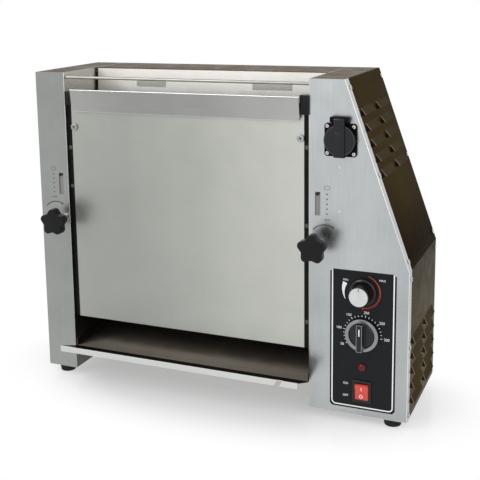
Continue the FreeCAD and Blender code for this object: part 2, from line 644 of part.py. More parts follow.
def platen():
    half = "platen_thick / 2"
    x0, x1 = "bay_left + platen_end", "bay_right - platen_end"
    low, shoulder = "base + platen_low", "base + platen_shoulder"
    ridge = shoulder + " + platen_ridge"
    levels = ["base + element_low + %d * element_pitch" % i for i in range(int(value("element_count")))]
    slab = plate("platen", "YZ", x0, "(%s) - (%s)" % (x1, x0),
                 [[("platen_y - " + half, low), ("platen_y + " + half, low),
                   ("platen_y + " + half, shoulder), ("platen_y + platen_tip", ridge),
                   ("platen_y - platen_tip", ridge), ("platen_y - " + half, shoulder)]],
                 [("platen_y", level, "element_radius") for level in levels])
    piece(slab, "platen")
    rods = [rod("element%d" % i, "+X", "bay_left - element_left", "platen_y", level, "element_radius",
                "bay_right - bay_left + element_left + element_right") for i, level in enumerate(levels)]
    piece(group("heating_elements", rods), "heating_elements")

    blocks = []
    for number, level in enumerate(("bracket_low", "bracket_high")):
        z0 = "base + " + level
        y0 = "platen_y - bracket_block / 2"
        for side, a, b in (("l", "bay_left", x0), ("r", x1, "bay_right")):
            blocks.append(block("bracket_%s%d" % (side, number), a, b, y0, y0 + " + bracket_block", z0,
                                z0 + " + bracket_block"))
    piece(group("platen_brackets", blocks), "platen_brackets")

    near, far = "(%s + sheet_gap)" % half, "(%s + sheet_gap + sheet_thick)" % half
    top = ridge + " + sheet_gap"
    hang = "base + sheet_hang"
    cover = plate("release_sheet", "YZ", x0, "(%s) - (%s)" % (x1, x0),
                  [[("platen_y - " + near, hang), ("platen_y - " + near, shoulder),
                    ("platen_y - platen_tip", top), ("platen_y + platen_tip", top),
                    ("platen_y + " + near, shoulder), ("platen_y + " + near, hang),
                    ("platen_y + " + far, hang),
                    ("platen_y + " + far, shoulder + " + 0.3"),
                    ("platen_y + platen_tip + 0.4", top + " + sheet_thick"),
                    ("platen_y - platen_tip - 0.4", top + " + sheet_thick"),
                    ("platen_y - (" + far + ")", shoulder + " + 0.3"),
                    ("platen_y - (" + far + ")", hang)]])
    piece(cover, "release_sheet")


def stadium(name, axis_y, radius, x0, length):
    """A long round-ended solid about the drive and idler axes."""
    ends = [rod(name + "_a", "+X", x0, axis_y, "drive_z", radius, length),
            rod(name + "_b", "+X", x0, axis_y, "idler_z", radius, length)]
    middle = block(name + "_c", x0, "(%s) + (%s)" % (x0, length), "(%s) - (%s)" % (axis_y, radius),
                   "(%s) + (%s)" % (axis_y, radius), "idler_z", "drive_z")
    return joined(name, ends + [middle])


def belt_frame(side, axis_y, pin_x0, pin_x1, pin_z):
    """Two side plates and three cross bars that swing on the drive shaft, and the pin that moves them."""
    items = []
    holes = [(axis_y, "drive_z", "shaft_radius + running_play"),
             (axis_y, "idler_z", "shaft_radius + running_play")]
    outline = clipped(axis_y + " - frame_half", axis_y + " + frame_half", "idler_z - frame_half",
                      "drive_z + frame_half", "3")
    for name, x0 in (("l", "bay_left + frame_gap"), ("r", "bay_right - frame_gap - frame_plate")):
        items.append(plate("%s_frame_%s" % (side, name), "YZ", x0, "frame_plate", [outline], holes))
    for number in range(int(value("cross_bar_count"))):
        z0 = "base + cross_bar_low + %d * cross_bar_pitch" % number
        items.append(block("%s_bar%d" % (side, number), "bay_left + frame_gap + frame_plate / 2",
                           "bay_right - frame_gap - frame_plate / 2", axis_y + " - cross_bar / 2",
                           axis_y + " + cross_bar / 2", z0, z0 + " + cross_bar"))
    items.append(rod(side + "_pin", "+X", pin_x0, axis_y, pin_z, "frame_pin",
                     "(%s) - (%s)" % (pin_x1, pin_x0)))
    piece(joined(side + "_belt_frame", items), side + "_belt_frame")

    x0, length = "bay_left + belt_end", "bay_right - bay_left - 2 * belt_end"
    outer = stadium(side + "_belt_outer", axis_y, "belt_outer", x0, length)
    inner = stadium(side + "_belt_inner", axis_y, "belt_outer - belt_thick", x0 + " - 1", length + " + 2")
    piece(cut(side + "_belt", outer, inner), side + "_belt")

    x0, x1 = "bay_left - bush_outside", "sprocket_x + hub_length / 2"
    a, b = "bay_left + roller_end", "bay_right - roller_end"
    roller = turned(side + "_drive_roller", "+X", "0", axis_y, "drive_z",
                    [("0", x0), ("shaft_radius", x0), ("shaft_radius", a), ("roller_radius", a),
                     ("roller_radius", b), ("shaft_radius", b), ("shaft_radius", x1), ("0", x1)])
    piece(roller, side + "_drive_roller")
    x0, x1 = "bay_left + frame_gap", "bay_right - frame_gap"
    idler = turned(side + "_idler_roller", "+X", "0", axis_y, "idler_z",
                   [("0", x0), ("shaft_radius", x0), ("shaft_radius", a), ("roller_radius", a),
                    ("roller_radius", b), ("shaft_radius", b), ("shaft_radius", x1), ("0", x1)])
    piece(idler, side + "_idler_roller")


def bushes():
    rings = []
    for number, axis_y in enumerate(("front_axis", "rear_axis")):
        for side, x0, turn in (("l", "bay_left + bush_inside", "-X"), ("r", "bay_right - bush_inside", "+X")):
            rings.append(turned("bush_%s%d" % (side, number), turn, x0, axis_y, "drive_z",
                                [("shaft_radius + running_play", "0"), ("bush_radius", "0"),
                                 ("bush_radius", "bush_inside + bush_outside"),
                                 ("shaft_radius + running_play", "bush_inside + bush_outside")]))
    piece(group("shaft_bushes", rings), "shaft_bushes")


def sprocket(label, y, z, bore, extra=None):
    """A plate wheel with a hub, its teeth repeated round the bore."""
    body = doc.addObject("PartDesign::Body", label if extra is None else label + "_wheel")
    x0 = "-tooth_thick / 2"
    pad = add_pad(body, "YZ", x0, "tooth_thick", (), [("0", "0", "pitch_radius - root_cut")])
    tooth = add_pad(body, "YZ", x0, "tooth_thick",
                    [[("-1.7", "pitch_radius - root_cut - 0.5"), ("1.7", "pitch_radius - root_cut - 0.5"),
                      ("0.5", "pitch_radius + tooth_top"), ("-0.5", "pitch_radius + tooth_top")]])
    repeat_round(body, [tooth], pad.Profile[0], "tooth_count")
    add_pad(body, "YZ", "-hub_length / 2", "hub_length", (), [("0", "0", "sprocket_hub")])
    add_pocket(body, "YZ", "-hub_length", "2 * hub_length", (), [("0", "0", bore)])
    seat(body, "sprocket_x", y, z)
    if extra is None:
        return piece(body, label)
    return piece(joined(label + "_on_shaft", [body, extra]), label)


def tangent(c0, c1, radius, way0, way1):
    """Touching points of the line between two circles; way is the side on which each is passed."""
    gap = c1 - c0
    dist = gap.Length
    along = gap / dist
    side = FreeCAD.Vector(-along.y, along.x, 0)
    if way0 == way1:
        return c0 + side * radius * way0, c1 + side * radius * way1
    lean = 2 * radius / dist
    reach = math.sqrt(1 - lean * lean)
    normal0 = side * reach * way0 + along * lean
    return c0 + normal0 * radius, c1 - normal0 * radius


def chain():
    """One loop of link plates round the motor and front wheels, that passes under the rear wheel."""
    radius = value("pitch_radius")
    spots = {"f": FreeCAD.Vector(value("front_axis"), value("drive_z"), 0),
             "r": FreeCAD.Vector(value("rear_axis"), value("drive_z"), 0),
             "m": FreeCAD.Vector(value("motor_y"), value("motor_z"), 0)}
    runs = [tangent(spots["f"], spots["r"], radius, 1, -1), tangent(spots["r"], spots["m"], radius, -1, 1),
            tangent(spots["m"], spots["f"], radius, 1, 1)]
    turns = (("r", 0, 1), ("m", 1, 2), ("f", 2, 0))
    edges = [Part.LineSegment(a, b).toShape() for a, b in runs]
    for name, before, after in turns:
        centre = spots[name]
        a, b = runs[before][1], runs[after][0]
        middle = (a + b) * 0.5 - centre if name == "r" else outward(name, spots)
        middle.normalize()
        edges.append(Part.Arc(a, centre + middle * radius, b).toShape())
    face = Part.Face(Part.Wire(Part.__sortEdges__(edges)))
    outside = face.makeOffset2D(value("link_half"))
    inside = face.makeOffset2D(-value("link_half"))
    thick = value("link_thick")
    gap = value("tooth_thick") / 2 + value("link_gap")
    rows = []
    for level in (gap, -gap - thick):
        up = FreeCAD.Vector(0, 0, thick)
        row = outside.extrude(up).cut(inside.extrude(up))
        row.translate(FreeCAD.Vector(0, 0, level))
        rows.append(row)
    keep_off = radius + value("tooth_top") + value("chain_pin") + 0.5
    for a, b in runs:
        count = int((b - a).Length / value("chain_pitch"))
        for number in range(1, count):
            spot = a + (b - a) * (number / count)
            if min((spot - centre).Length for centre in spots.values()) > keep_off:
                rows.append(Part.makeCylinder(value("chain_pin"), 2 * (gap + thick / 2),
                                              spot - FreeCAD.Vector(0, 0, gap + thick / 2)))
    loop = rows[0].multiFuse(rows[1:])
    item = doc.addObject("Part::Feature", "chain")
    item.Shape = loop
    upright = FreeCAD.Matrix(0, 0, 1, 0, 1, 0, 0, 0, 0, 1, 0, 0, 0, 0, 0, 1)
    item.Placement = FreeCAD.Placement(upright)
    bind(item, {"Placement.Base.x": "sprocket_x"})
    piece(item, "drive_chain")


def outward(name, spots):
    """The way from an end wheel's middle to the far side of its wrap."""
    others = [spot for key, spot in spots.items() if key != name]
    return spots[name] - (others[0] + others[1]) * 0.5


def drive():
    for side, axis_y in (("front", "front_axis"), ("rear", "rear_axis")):
        sprocket(side + "_sprocket", axis_y, "drive_z", "shaft_radius")
    shaft = rod("motor_shaft", "+X", "sprocket_x - hub_length / 2", "motor_y", "motor_z", "shaft_radius",
                "motor_plate + motor_plate_thick + motor_shaft - sprocket_offset + hub_length / 2")
    sprocket("motor_sprocket", "motor_y", "motor_z", "shaft_radius", shaft)
    chain()

    x0 = "bay_right + motor_plate"
    x1 = x0 + " + motor_plate_thick"
    posts = [("motor_y + 21", "motor_z + 20"), ("motor_y + 21", "motor_z - 20"),
             ("motor_y - 20", "motor_z - 32")]
    sheet_plate = plate("motor_plate", "YZ", x0, "motor_plate_thick",
                        [[("motor_y - 26", "motor_z - 38"), ("motor_y + 27", "motor_z - 38"),
                          ("motor_y + 27", "motor_z + 26"), ("motor_y - 26", "motor_z + 26")]],
                        [("motor_y", "motor_z", "shaft_radius + 1")])
    legs = [rod("post%d" % i, "+X", "bay_right + skin", y, z, "post_radius", "motor_plate - skin + 1")
            for i, (y, z) in enumerate(posts)]
    piece(joined("motor_bracket", [sheet_plate] + legs), "motor_bracket")

    motor = plate("gear_motor", "YZ", x1, "gearbox_length",
                  [clipped("motor_y - gearbox_half", "motor_y + gearbox_half", "motor_z - gearbox_half",
                           "motor_z + gearbox_half", "4")],
                  ())
    add_pocket(motor, "YZ", x1 + " - 1", "14", (), [("motor_y", "motor_z", "shaft_radius + running_play")])
    add_pad(motor, "YZ", x1 + " + gearbox_length", "can_length", (), [("motor_y", "motor_z", "can_radius")])
    piece(motor, "gear_motor")


def star_knob(label, x, y, z):
    """A knob with five round lobes, shallow valleys between them, and a short collar towards the panel."""
    body = doc.addObject("PartDesign::Body", label)
    hub = add_pad(body, "XZ", "-star_thick / 2", "star_thick", (), [("0", "0", "star_hub")])
    lobe = add_pad(body, "XZ", "-star_thick / 2", "star_thick", (), [("0", "star_radius", "star_lobe")])
    across, up = "star_valley * sin(180 / star_count)", "star_valley * cos(180 / star_count)"
    web = add_pad(body, "XZ", "-star_thick / 2", "star_thick",
                  [[("0", "0"), (across, up), ("star_lobe * 0.83", "star_radius + star_lobe * 0.55"),
                    ("-star_lobe * 0.83", "star_radius + star_lobe * 0.55"), ("-" + across, up)]])
    repeat_round(body, [lobe, web], hub.Profile[0], "star_count")
    add_pad(body, "XZ", "star_thick / 2 - 1", "collar_length + 1", (), [("0", "0", "star_collar")])
    add_pocket(body, "XZ", "-star_thick / 4", "star_thick + collar_length", (),
               [("0", "0", "spindle_radius")])
    seat(body, x, y, z)
    piece(body, label)


def cam_slot(y0, z0, y1, z1):
    """The slanted slot that turns the yoke's way in or out into the pointer's way up or down."""
    run = "sqrt(swing_travel ^ 2 + pointer_travel ^ 2)"
    along_y = "((%s) - (%s)) / %s" % (y1, y0, run)
    along_z = "((%s) - (%s)) / %s" % (z1, z0, run)
    half = "(cam_pin + cam_play)"
    spots = []
    for y, z, end in ((y0, z0, -1), (y1, z1, 1)):
        for way in (end, -end):
            spots.append(("%s + %d * %s * %s + %d * %s * (%s)" % (y, end, half, along_y, way, half, along_z),
                          "%s + %d * %s * %s - %d * %s * (%s)" % (z, end, half, along_z, way, half, along_y)))
    return spots


def adjuster(side, spindle_x, spindle_z, scale_x, reach, axis_y, way):
    """A star knob on a spindle, the yoke it pushes, and the pointer that shows the gap."""
    yoke_front = axis_y + " - yoke_deep"
    knob_y = "front - " + reach
    nut = turned(side + "_nut", "+Y", spindle_x, "front + skin", spindle_z,
                 [("spindle_radius + running_play", "0"), ("nut_radius", "0"), ("nut_radius", "nut_length"),
                  ("spindle_radius + running_play", "nut_length")])
    spindle = rod(side + "_spindle", "+Y", spindle_x, knob_y + " - star_thick / 4", spindle_z,
                  "spindle_radius", "(%s) - seam - (%s) + star_thick / 4" % (yoke_front, knob_y))
    piece(spindle, side + "_spindle")
    star_knob(side + "_star_knob", spindle_x, knob_y, spindle_z)

    x0, x1 = spindle_x + " - yoke_half", spindle_x + " + yoke_half"
    yoke = plate(side + "_yoke", "YZ", x0, "yoke_half * 2",
                 [rectangle(yoke_front, axis_y + " + yoke_deep", spindle_z + " - yoke_tall",
                            spindle_z + " + yoke_tall"),
                  rectangle(axis_y + " - frame_pin - pin_play", axis_y + " + frame_pin + pin_play",
                            spindle_z + " - yoke_slot", spindle_z + " + yoke_slot")])
    end_y = "follower_y - %d * swing_travel" % way
    slot = cam_slot("follower_y", "pointer_z", end_y, "pointer_z - pointer_travel")
    high, low = "pointer_z + cam_edge + cam_pin", "pointer_z - pointer_travel - cam_edge * 2 - cam_pin"
    top = spindle_z + " + yoke_tall"
    if way > 0:
        arm = [(yoke_front, top + " - 3"), (axis_y + " + yoke_deep", top + " - 3"),
               (axis_y + " + yoke_deep", high), (end_y + " - cam_edge - cam_pin", high),
               (end_y + " - cam_edge - cam_pin", low), (yoke_front, low + " - 6")]
    else:
        arm = [("follower_y - cam_edge", low), (yoke_front, low), (yoke_front, top + " - 3"),
               (axis_y + " + yoke_deep", top + " - 3"), (axis_y + " + yoke_deep", low + " + 14"),
               (end_y + " + cam_edge * 2", low + " + 14"), (end_y + " + cam_edge * 2", high),
               ("follower_y - cam_edge", high)]
    add_pad(yoke, "YZ", x0, "cam_plate", [arm])
    add_pocket(yoke, "YZ", x0 + " - 1", "cam_plate + 2", [slot])
    piece(yoke, side + "_yoke")

    head = rod(side + "_pointer_head", "-Y", scale_x, "front - seam", "pointer_z", "pointer_head", "skin")
    stem = rod(side + "_pointer_stem", "+Y", scale_x, "front - seam", "pointer_z", "pointer_stem",
               "skin + seam * 2 + slider_thick")
    y0 = "front + skin + slider_gap"
    slider = block(side + "_slider", scale_x + " - slider_half", spindle_x + " + 1", y0,
                   y0 + " + slider_thick", "pointer_z - 4", "pointer_z + 4")
    strip = block(side + "_strip", scale_x + " - slider_half", scale_x + " + slider_half", y0,
                  y0 + " + slider_thick", "base + scale_low - 1", "pointer_z")
    arm_x = x0 + " + cam_plate + seam * 2"
    follower = block(side + "_follower", arm_x, arm_x + " + 3", y0, "follower_y + cam_pin",
                     "pointer_z - cam_pin", "pointer_z + cam_pin")
    pin = rod(side + "_cam_pin", "+X", x0 + " - 0.5", "follower_y", "pointer_z", "cam_pin",
              "cam_plate + seam * 2 + 1")
    piece(joined(side + "_pointer", [head, stem, slider, strip, follower, pin]), side + "_pointer")
    return nut


def controls():
    low, x0, x1 = "base + label_low", "label_x - label_width / 2", "label_x + label_width / 2"
    label = plate("control_label", "XZ", "label_face", "label_thick",
                  [clipped(x0, x1, low, low + " + label_height", "label_corner"), switch_window()],
                  [("label_x", "base + speed_level", "dial_hole"),
                   ("label_x", "base + thermo_level", "dial_hole"),
                   ("label_x", "base + lamp_level", "lamp_stem + seam")])
    piece(label, "control_label")

    shaft_back = "dial_gap + label_thick + skin + 12"
    speed = turned("speed_knob", "-Y", "label_x", "label_face - dial_gap", "base + speed_level",
                   [("0", "-(%s)" % shaft_back), ("dial_shaft", "-(%s)" % shaft_back), ("dial_shaft", "0"),
                    ("speed_skirt", "0"), ("speed_skirt - 0.6", "speed_skirt_thick"),
                    ("speed_radius", "speed_skirt_thick + 1"), ("speed_face", "speed_height - 1"),
                    ("speed_face - 1", "speed_height"), ("0", "speed_height")])
    piece(speed, "speed_knob")
    ring = turned("thermo_ring_body", "-Y", "label_x", "label_face - dial_gap", "base + thermo_level",
                  [("0", "-(%s)" % shaft_back), ("dial_shaft", "-(%s)" % shaft_back), ("dial_shaft", "0"),
                   ("thermo_radius", "0"), ("thermo_radius - 0.6", "thermo_ring - 2"),
                   ("thermo_inner + 1", "thermo_ring"), ("thermo_inner", "thermo_ring - 1"),
                   ("thermo_inner - 2", "thermo_ring + 1"), ("0", "thermo_ring + 1")])
    grip = block("thermo_grip_body", "label_x - thermo_grip_half", "label_x + thermo_grip_half",
                 "label_face - dial_gap - thermo_grip", "label_face - dial_gap - 1",
                 "base + thermo_level - thermo_grip_reach", "base + thermo_level + thermo_grip_reach")
    piece(joined("thermostat_knob", [ring, grip]), "thermostat_knob")

    units = []
    for name, level, wide in (("speed_unit", "speed_level", "unit_width"),
                              ("thermo_unit", "thermo_level", "unit_width - 4")):
        x0, x1 = "label_x - (%s) / 2" % wide, "label_x + (%s) / 2" % wide
        unit = plate(name, "XZ", "front + skin", "unit_deep",
                     [clipped(x0, x1, "base + %s - unit_tall / 2" % level,
                              "base + %s + unit_tall / 2" % level, "3")])
        add_pocket(unit, "XZ", "front + skin - 1", "14.5", (),
                   [("label_x", "base + " + level, "dial_shaft + running_play")])
        units.append(unit)
    piece(group("control_units", units), "control_units")

    lamp = turned("indicator_lamp", "-Y", "label_x", "label_face", "base + lamp_level",
                  [("0", "-lamp_deep"), ("lamp_stem", "-lamp_deep"), ("lamp_stem", "0"),
                   ("lamp_radius", "0"), ("lamp_radius", "1"), ("lamp_radius - 1", "lamp_dome * 0.6"),
                   ("lamp_radius - 3.5", "lamp_dome - 0.5"), ("0", "lamp_dome")])
    piece(lamp, "indicator_lamp")

    z = "base + switch_level"
    housing = plate("rocker_housing", "XZ", "label_face - switch_bezel", "switch_bezel",
                    [rectangle("label_x - switch_width / 2", "label_x + switch_width / 2",
                               z + " - switch_height / 2", z + " + switch_height / 2")])
    inset = "switch_width / 2 - switch_wall - seam"
    inset_z = "switch_height / 2 - switch_wall - seam"
    add_pad(housing, "XZ", "label_face - 0.5", "switch_deep + 0.5",
            [rectangle("label_x - (%s)" % inset, "label_x + %s" % inset, "%s - (%s)" % (z, inset_z),
                       "%s + %s" % (z, inset_z))])
    add_pocket(housing, "XZ", "label_face - switch_bezel - 1", "switch_bezel + 12",
               [rectangle("label_x - rocker_window / 2", "label_x + rocker_window / 2",
                          z + " - rocker_window_height / 2", z + " + rocker_window_height / 2")])
    piece(housing, "rocker_housing")
    half = "rocker_height / 2"
    button = plate("rocker_button", "YZ", "-rocker_width / 2", "rocker_width",
                   [[("-rocker_face", "-" + half), ("-rocker_face + rocker_dip", "0"), ("-rocker_face", half),
                     ("0", half + " - 1"), ("3", "0"), ("0", "1 - " + half)]])
    button.Placement = FreeCAD.Placement(FreeCAD.Vector(), FreeCAD.Rotation(FreeCAD.Vector(1, 0, 0), 7))
    bind(button, {"Placement.Base.x": "label_x", "Placement.Base.y": "label_face + rocker_axis",
                  "Placement.Base.z": z, "Placement.Rotation.Angle": "rocker_tilt"})
    piece(button, "rocker_button")


def socket():
    x, z = "socket_x", "socket_z"
    half = "socket_flange / 2"
    face = "front - socket_plate"
    corners = [(x + " + %d * socket_screw" % u, z + " + %d * socket_screw" % v) for u, v in CORNERS]
    body = plate("socket_cup_body", "XZ", face, "socket_plate",
                 [clipped(x + " - " + half, x + " + " + half, z + " - " + half, z + " + " + half, "3")],
                 [(u, v, "shank + seam") for u, v in corners])
    axis_y = face + " - lid_gap - knuckle"
    axis_z = z + " + lid_axis"
    ear_end = "(knuckle_half + seam + ear_length)"
    add_pad(body, "XZ", face, "socket_plate",
            [rectangle("%s - %s" % (x, ear_end), "%s + %s" % (x, ear_end), "%s + %s - 1" % (z, half),
                       axis_z + " + knuckle")])
    add_pad(body, "XZ", "front - 1", "socket_deep + 1", (), [(x, z, "socket_cup")])
    add_pocket(body, "XZ", face + " - 1", "socket_recess + 1", (), [(x, z, "socket_bore")])
    add_pocket(body, "XZ", face + " + socket_recess - 1", "9", (),
               [(x + " - contact_spacing / 2", z, "contact_radius"),
                (x + " + contact_spacing / 2", z, "contact_radius")])
    for way in (-1, 1):
        near = "%s + %d * (knuckle_half + seam)" % (x, way)
        far = "%s + %d * %s" % (x, way, ear_end)
        u0, u1 = (far, near) if way < 0 else (near, far)
        add_pad(body, "XZ", axis_y + " - knuckle", "knuckle * 2 + lid_gap + 0.5",
                [rectangle(u0, u1, axis_z + " - knuckle * 0.6", axis_z + " + knuckle")])
    pin = rod("lid_pin_rod", "+X", x + " - knuckle_half - seam - 1", axis_y, axis_z, "lid_pin",
              "(knuckle_half + seam + 1) * 2")
    piece(joined("socket_with_pin", [body, pin]), "socket_body")
    for u, v in corners:
        screw("-Y", u, face, v, "side_head_radius - 0.8", "side_head * 0.6", "socket_plate + skin")

    lid_back = face + " - lid_gap"
    disc = plate("lid_disc", "XZ", lid_back + " - lid_thick", "lid_thick", (), [(x, z, "lid_radius")])
    add_pad(disc, "XZ", lid_back + " - lid_strap", "lid_strap",
            [rectangle(x + " - knuckle_half", x + " + knuckle_half", z + " - strap_low", axis_z)])
    roll = rod("lid_roll", "+X", x + " - knuckle_half", axis_y, axis_z, "knuckle", "knuckle_half * 2")
    hole = rod("lid_bore", "+X", x + " - knuckle_half - 1", axis_y, axis_z, "lid_pin + running_play",
               "knuckle_half * 2 + 2")
    piece(cut("socket_lid", joined("lid_solid", [disc, roll]), hole), "socket_lid")


def tray():
    x0, x1 = "bay_left + tray_side_gap", "bay_right - tray_side_gap"
    tip, level, rise = "front - tray_reach", "tray_z", "tray_z + tray_rise"
    end = "back - tray_back"
    pan = plate("discharge_tray", "YZ", x0, "(%s) - (%s)" % (x1, x0),
                [[(end, level), ("front", level), (tip + " + 4.5", rise + " - skin"),
                  (tip + " + skin", rise), (tip + " + skin", rise + " + skin - tray_lip"),
                  (tip, rise + " + skin - tray_lip"), (tip, rise + " + skin"),
                  (tip + " + 4", rise + " + 0.3"), ("front + 0.3", level + " + skin"),
                  (end, level + " + skin")]])
    for x in (x0, x1 + " - skin"):
        add_pad(pan, "YZ", x, "skin", [rectangle("front + 2", end, level, level + " + tray_wall")])
    add_pad(pan, "YZ", x0, "(%s) - (%s)" % (x1, x0),
            [rectangle(end + " - skin", end, level, level + " + tray_wall")])
    notch = "bay_right - tray_notch_in"
    add_pocket(pan, "XZ", tip + " - 1", "skin + 2",
               [[(notch, rise + " - tray_lip"), (notch + " + tray_notch", rise + " - tray_lip"),
                 (notch + " + tray_notch * 1.8", rise + " + 2"),
                 (notch + " + tray_notch * 0.8", rise + " + 2")]])
    piece(pan, "discharge_tray")

    runners = []
    for name, wall, way in (("runner_left", "bay_left", "+"), ("runner_right", "bay_right", "-")):
        top = "tray_z - runner_gap"
        edge = "%s %s runner_width" % (wall, way)
        ply = "%s %s skin" % (wall, way)
        runner = plate(name, "XZ", "front + runner_front", "body_depth - runner_front - tray_back",
                       [[(wall, top), (edge, top), (edge, top + " - skin"), (ply, top + " - skin"),
                         (ply, top + " - runner_leg"), (wall, top + " - runner_leg")]])
        runners.append(runner)
    piece(group("tray_runners", runners), "tray_runners")


def rivets():
    for high in RIVETS:
        screw("-Y", "bay_right + rivet_in", "front", "base + " + high, "rivet_radius", "rivet_head",
              "skin * 2")


left_column()
inner_wall("left_inner_wall", "bay_left - skin", "front_axis", "left_spindle_z", 1)
right_column()
inner_wall("right_inner_wall", "bay_right", "rear_axis", "right_spindle_z", -1)
feet()
rear_and_roof()
front_cover()
feed_opening()
platen()
belt_frame("front", "front_axis", "left_spindle_x - pin_reach", "bay_left + frame_gap + 1", "left_spindle_z")
belt_frame("rear", "rear_axis", "bay_right - frame_gap - 1", "right_spindle_x + pin_reach", "right_spindle_z")
bushes()
drive()
nuts = [adjuster("left", "left_spindle_x", "left_spindle_z", "left_scale_x", "knob_reach_left",
                 "front_axis", 1),
        adjuster("right", "right_spindle_x", "right_spindle_z", "right_scale_x", "knob_reach_right",
                 "rear_axis", -1)]
piece(group("spindle_nuts", nuts), "spindle_nuts")
controls()
socket()
tray()
rivets()
piece(joined("screws_and_rivets", fasteners), "fasteners")

doc.recompute()
faults = [item.Name for item in doc.Objects if "Invalid" in item.State or "Error" in item.State]
faults += [item.Label for item in pieces if item.Shape.isNull() or not item.Shape.isValid()]
if faults:
    raise RuntimeError("failed: " + ", ".join(faults))

os.makedirs("parts", exist_ok=True)
for item in pieces:
    item.Shape.exportStep(os.path.join("parts", item.Label + ".step"))
print(len(pieces), "pieces written")
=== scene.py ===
import json
import math

import bmesh
import bpy
from mathutils import Matrix, Vector


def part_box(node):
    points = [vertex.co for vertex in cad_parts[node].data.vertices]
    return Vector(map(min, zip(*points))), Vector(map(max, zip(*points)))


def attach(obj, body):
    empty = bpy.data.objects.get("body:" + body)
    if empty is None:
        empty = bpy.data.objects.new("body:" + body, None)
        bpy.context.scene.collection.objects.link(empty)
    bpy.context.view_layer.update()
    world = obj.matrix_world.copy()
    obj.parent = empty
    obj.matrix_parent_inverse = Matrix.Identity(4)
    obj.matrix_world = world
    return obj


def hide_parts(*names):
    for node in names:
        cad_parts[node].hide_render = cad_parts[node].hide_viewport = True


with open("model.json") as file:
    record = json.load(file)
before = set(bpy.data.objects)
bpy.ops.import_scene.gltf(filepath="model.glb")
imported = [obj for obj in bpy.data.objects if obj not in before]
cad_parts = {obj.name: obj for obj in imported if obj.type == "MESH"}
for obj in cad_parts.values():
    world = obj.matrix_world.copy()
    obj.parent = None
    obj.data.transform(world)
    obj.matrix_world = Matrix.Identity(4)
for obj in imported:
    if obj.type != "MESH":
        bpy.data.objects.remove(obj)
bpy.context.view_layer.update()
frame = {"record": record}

bl_info = {
    "name": "Vertical Toaster Dressing",
    "version": (1, 0, 0),
    "blender": (4, 5, 0),
    "location": "View3D > Sidebar > Toaster",
    "description": "Dresses the steel toaster's solids with finishes, rounded edges, dial marks and a studio",
    "category": "Object",
}

MM = 0.001


# Settings

def colour_setting(name, note, hex_text):
    return bpy.props.StringProperty(name=name, description=note, default=hex_text)


def number_setting(name, note, default, unit="NONE"):
    return bpy.props.FloatProperty(name=name, description=note, default=default, unit=unit)


class FinishSettings(bpy.types.PropertyGroup):
    # The two column fronts are lit and shaded copies of one steel: the left's darker colour is painted shade.
    steel: colour_setting("Front steel", "Colour of the right column's brushed front", "#b3b7b8")
    shaded: colour_setting("Shaded steel", "Colour of the left column's brushed front", "#979a97")
    cover: colour_setting("Cover steel", "Colour of the hot front cover", "#adafa9")
    # The side sheets' dark brown is a painted reflection of the dim room, not the steel's own colour.
    side: colour_setting("Side steel", "Colour of the dark side sheets", "#7a6a52")
    plastic: colour_setting("Black nylon", "Colour of the star knobs, end blocks and gland", "#0d0e0f")
    lens: colour_setting("Red lens", "Colour of the lit switch", "#c4473c")
    edge_round: number_setting("Moulded edge", "Rounding of moulded edges", 0.9 * MM, "LENGTH")
    screw_round: number_setting("Screw edge", "Rounding of screw heads", 0.42 * MM, "LENGTH")
    grain: number_setting("Brush grain", "Spacing of the brushed lines", 0.9 * MM, "LENGTH")


class StudioSettings(bpy.types.PropertyGroup):
    azimuth: number_setting("Camera azimuth", "Turn of the camera round the toaster, in degrees", 23.62)
    elevation: number_setting("Camera elevation", "Height angle of the camera, in degrees", 10.26)
    roll: number_setting("Camera roll", "Lean of the camera, in degrees", -0.97)
    distance: number_setting("Camera distance", "Distance from the aim point", 1.5931, "LENGTH")
    focal: number_setting("Focal length", "Focal length in pixels of the 480 pixel frame", 932.4)
    lamp_power: number_setting("Key lamp", "Power of the large front lamp in watts", 14.0)
    sky: number_setting("Studio light", "Strength of the even studio light", 0.78)
    floor_white: number_setting("Floor white", "Share of plain white near the toaster", 0.4)


def finish():
    return bpy.context.scene.toaster_finish


def studio():
    return bpy.context.scene.toaster_studio


# Materials

FINISHES = {}

# A brushed streak is this many times as long as it is wide.
STREAK_STRETCH = 60
# Wiped patches about 140 mm across and finger smudges about 30 mm across.
HAZE_PER_METRE = 7.0
SMUDGES_PER_METRE = 34.0
# Slow upright bands, about 170 mm wide and a metre tall.
BANDS_PER_METRE = (6.0, 6.0, 0.9)
# How strongly the streaks count beside the haze.
STREAK_WEIGHT = 0.55
# Most values of a noise texture lie between these.
NOISE_SPAN = {"From Min": 0.3, "From Max": 0.7}
# Roughness varies between these shares of its setting on moulded and cast surfaces.
ROUGH_SHARES = (0.85, 1.2)
GRAIN_DEPTH = 0.2 * MM
# A wave texture of scale one repeats about every 0.32 m.
WAVE_LENGTH = 0.32


def linear(hex_text):
    """An sRGB hex value as linear red, green, blue and alpha."""
    parts = [int(hex_text[i:i + 2], 16) / 255.0 for i in (1, 3, 5)]
    return tuple(p / 12.92 if p <= 0.04045 else ((p + 0.055) / 1.055) ** 2.4 for p in parts) + (1.0,)


def shade(colour, factor):
    return tuple(min(1.0, c * factor) for c in colour[:3]) + (1.0,)


def add_node(tree, kind, settings=None, links=None, stops=()):
    """Adds a node with its settings, its links from other sockets and a ramp's stops."""
    item = tree.nodes.new(kind)
    for name, setting in (settings or {}).items():
        if isinstance(name, int) or name in item.inputs:
            item.inputs[name].default_value = setting
        else:
            setattr(item, name, setting)
    for name, socket in (links or {}).items():
        tree.links.new(socket, item.inputs[name])
    if stops:
        fill_ramp(item.color_ramp.elements, stops)
    return item


def fill_ramp(elements, stops):
    while len(elements) < len(stops):
        elements.new(0.5)
    for element, (place, colour) in zip(elements, stops):
        element.position = place
        element.color = colour


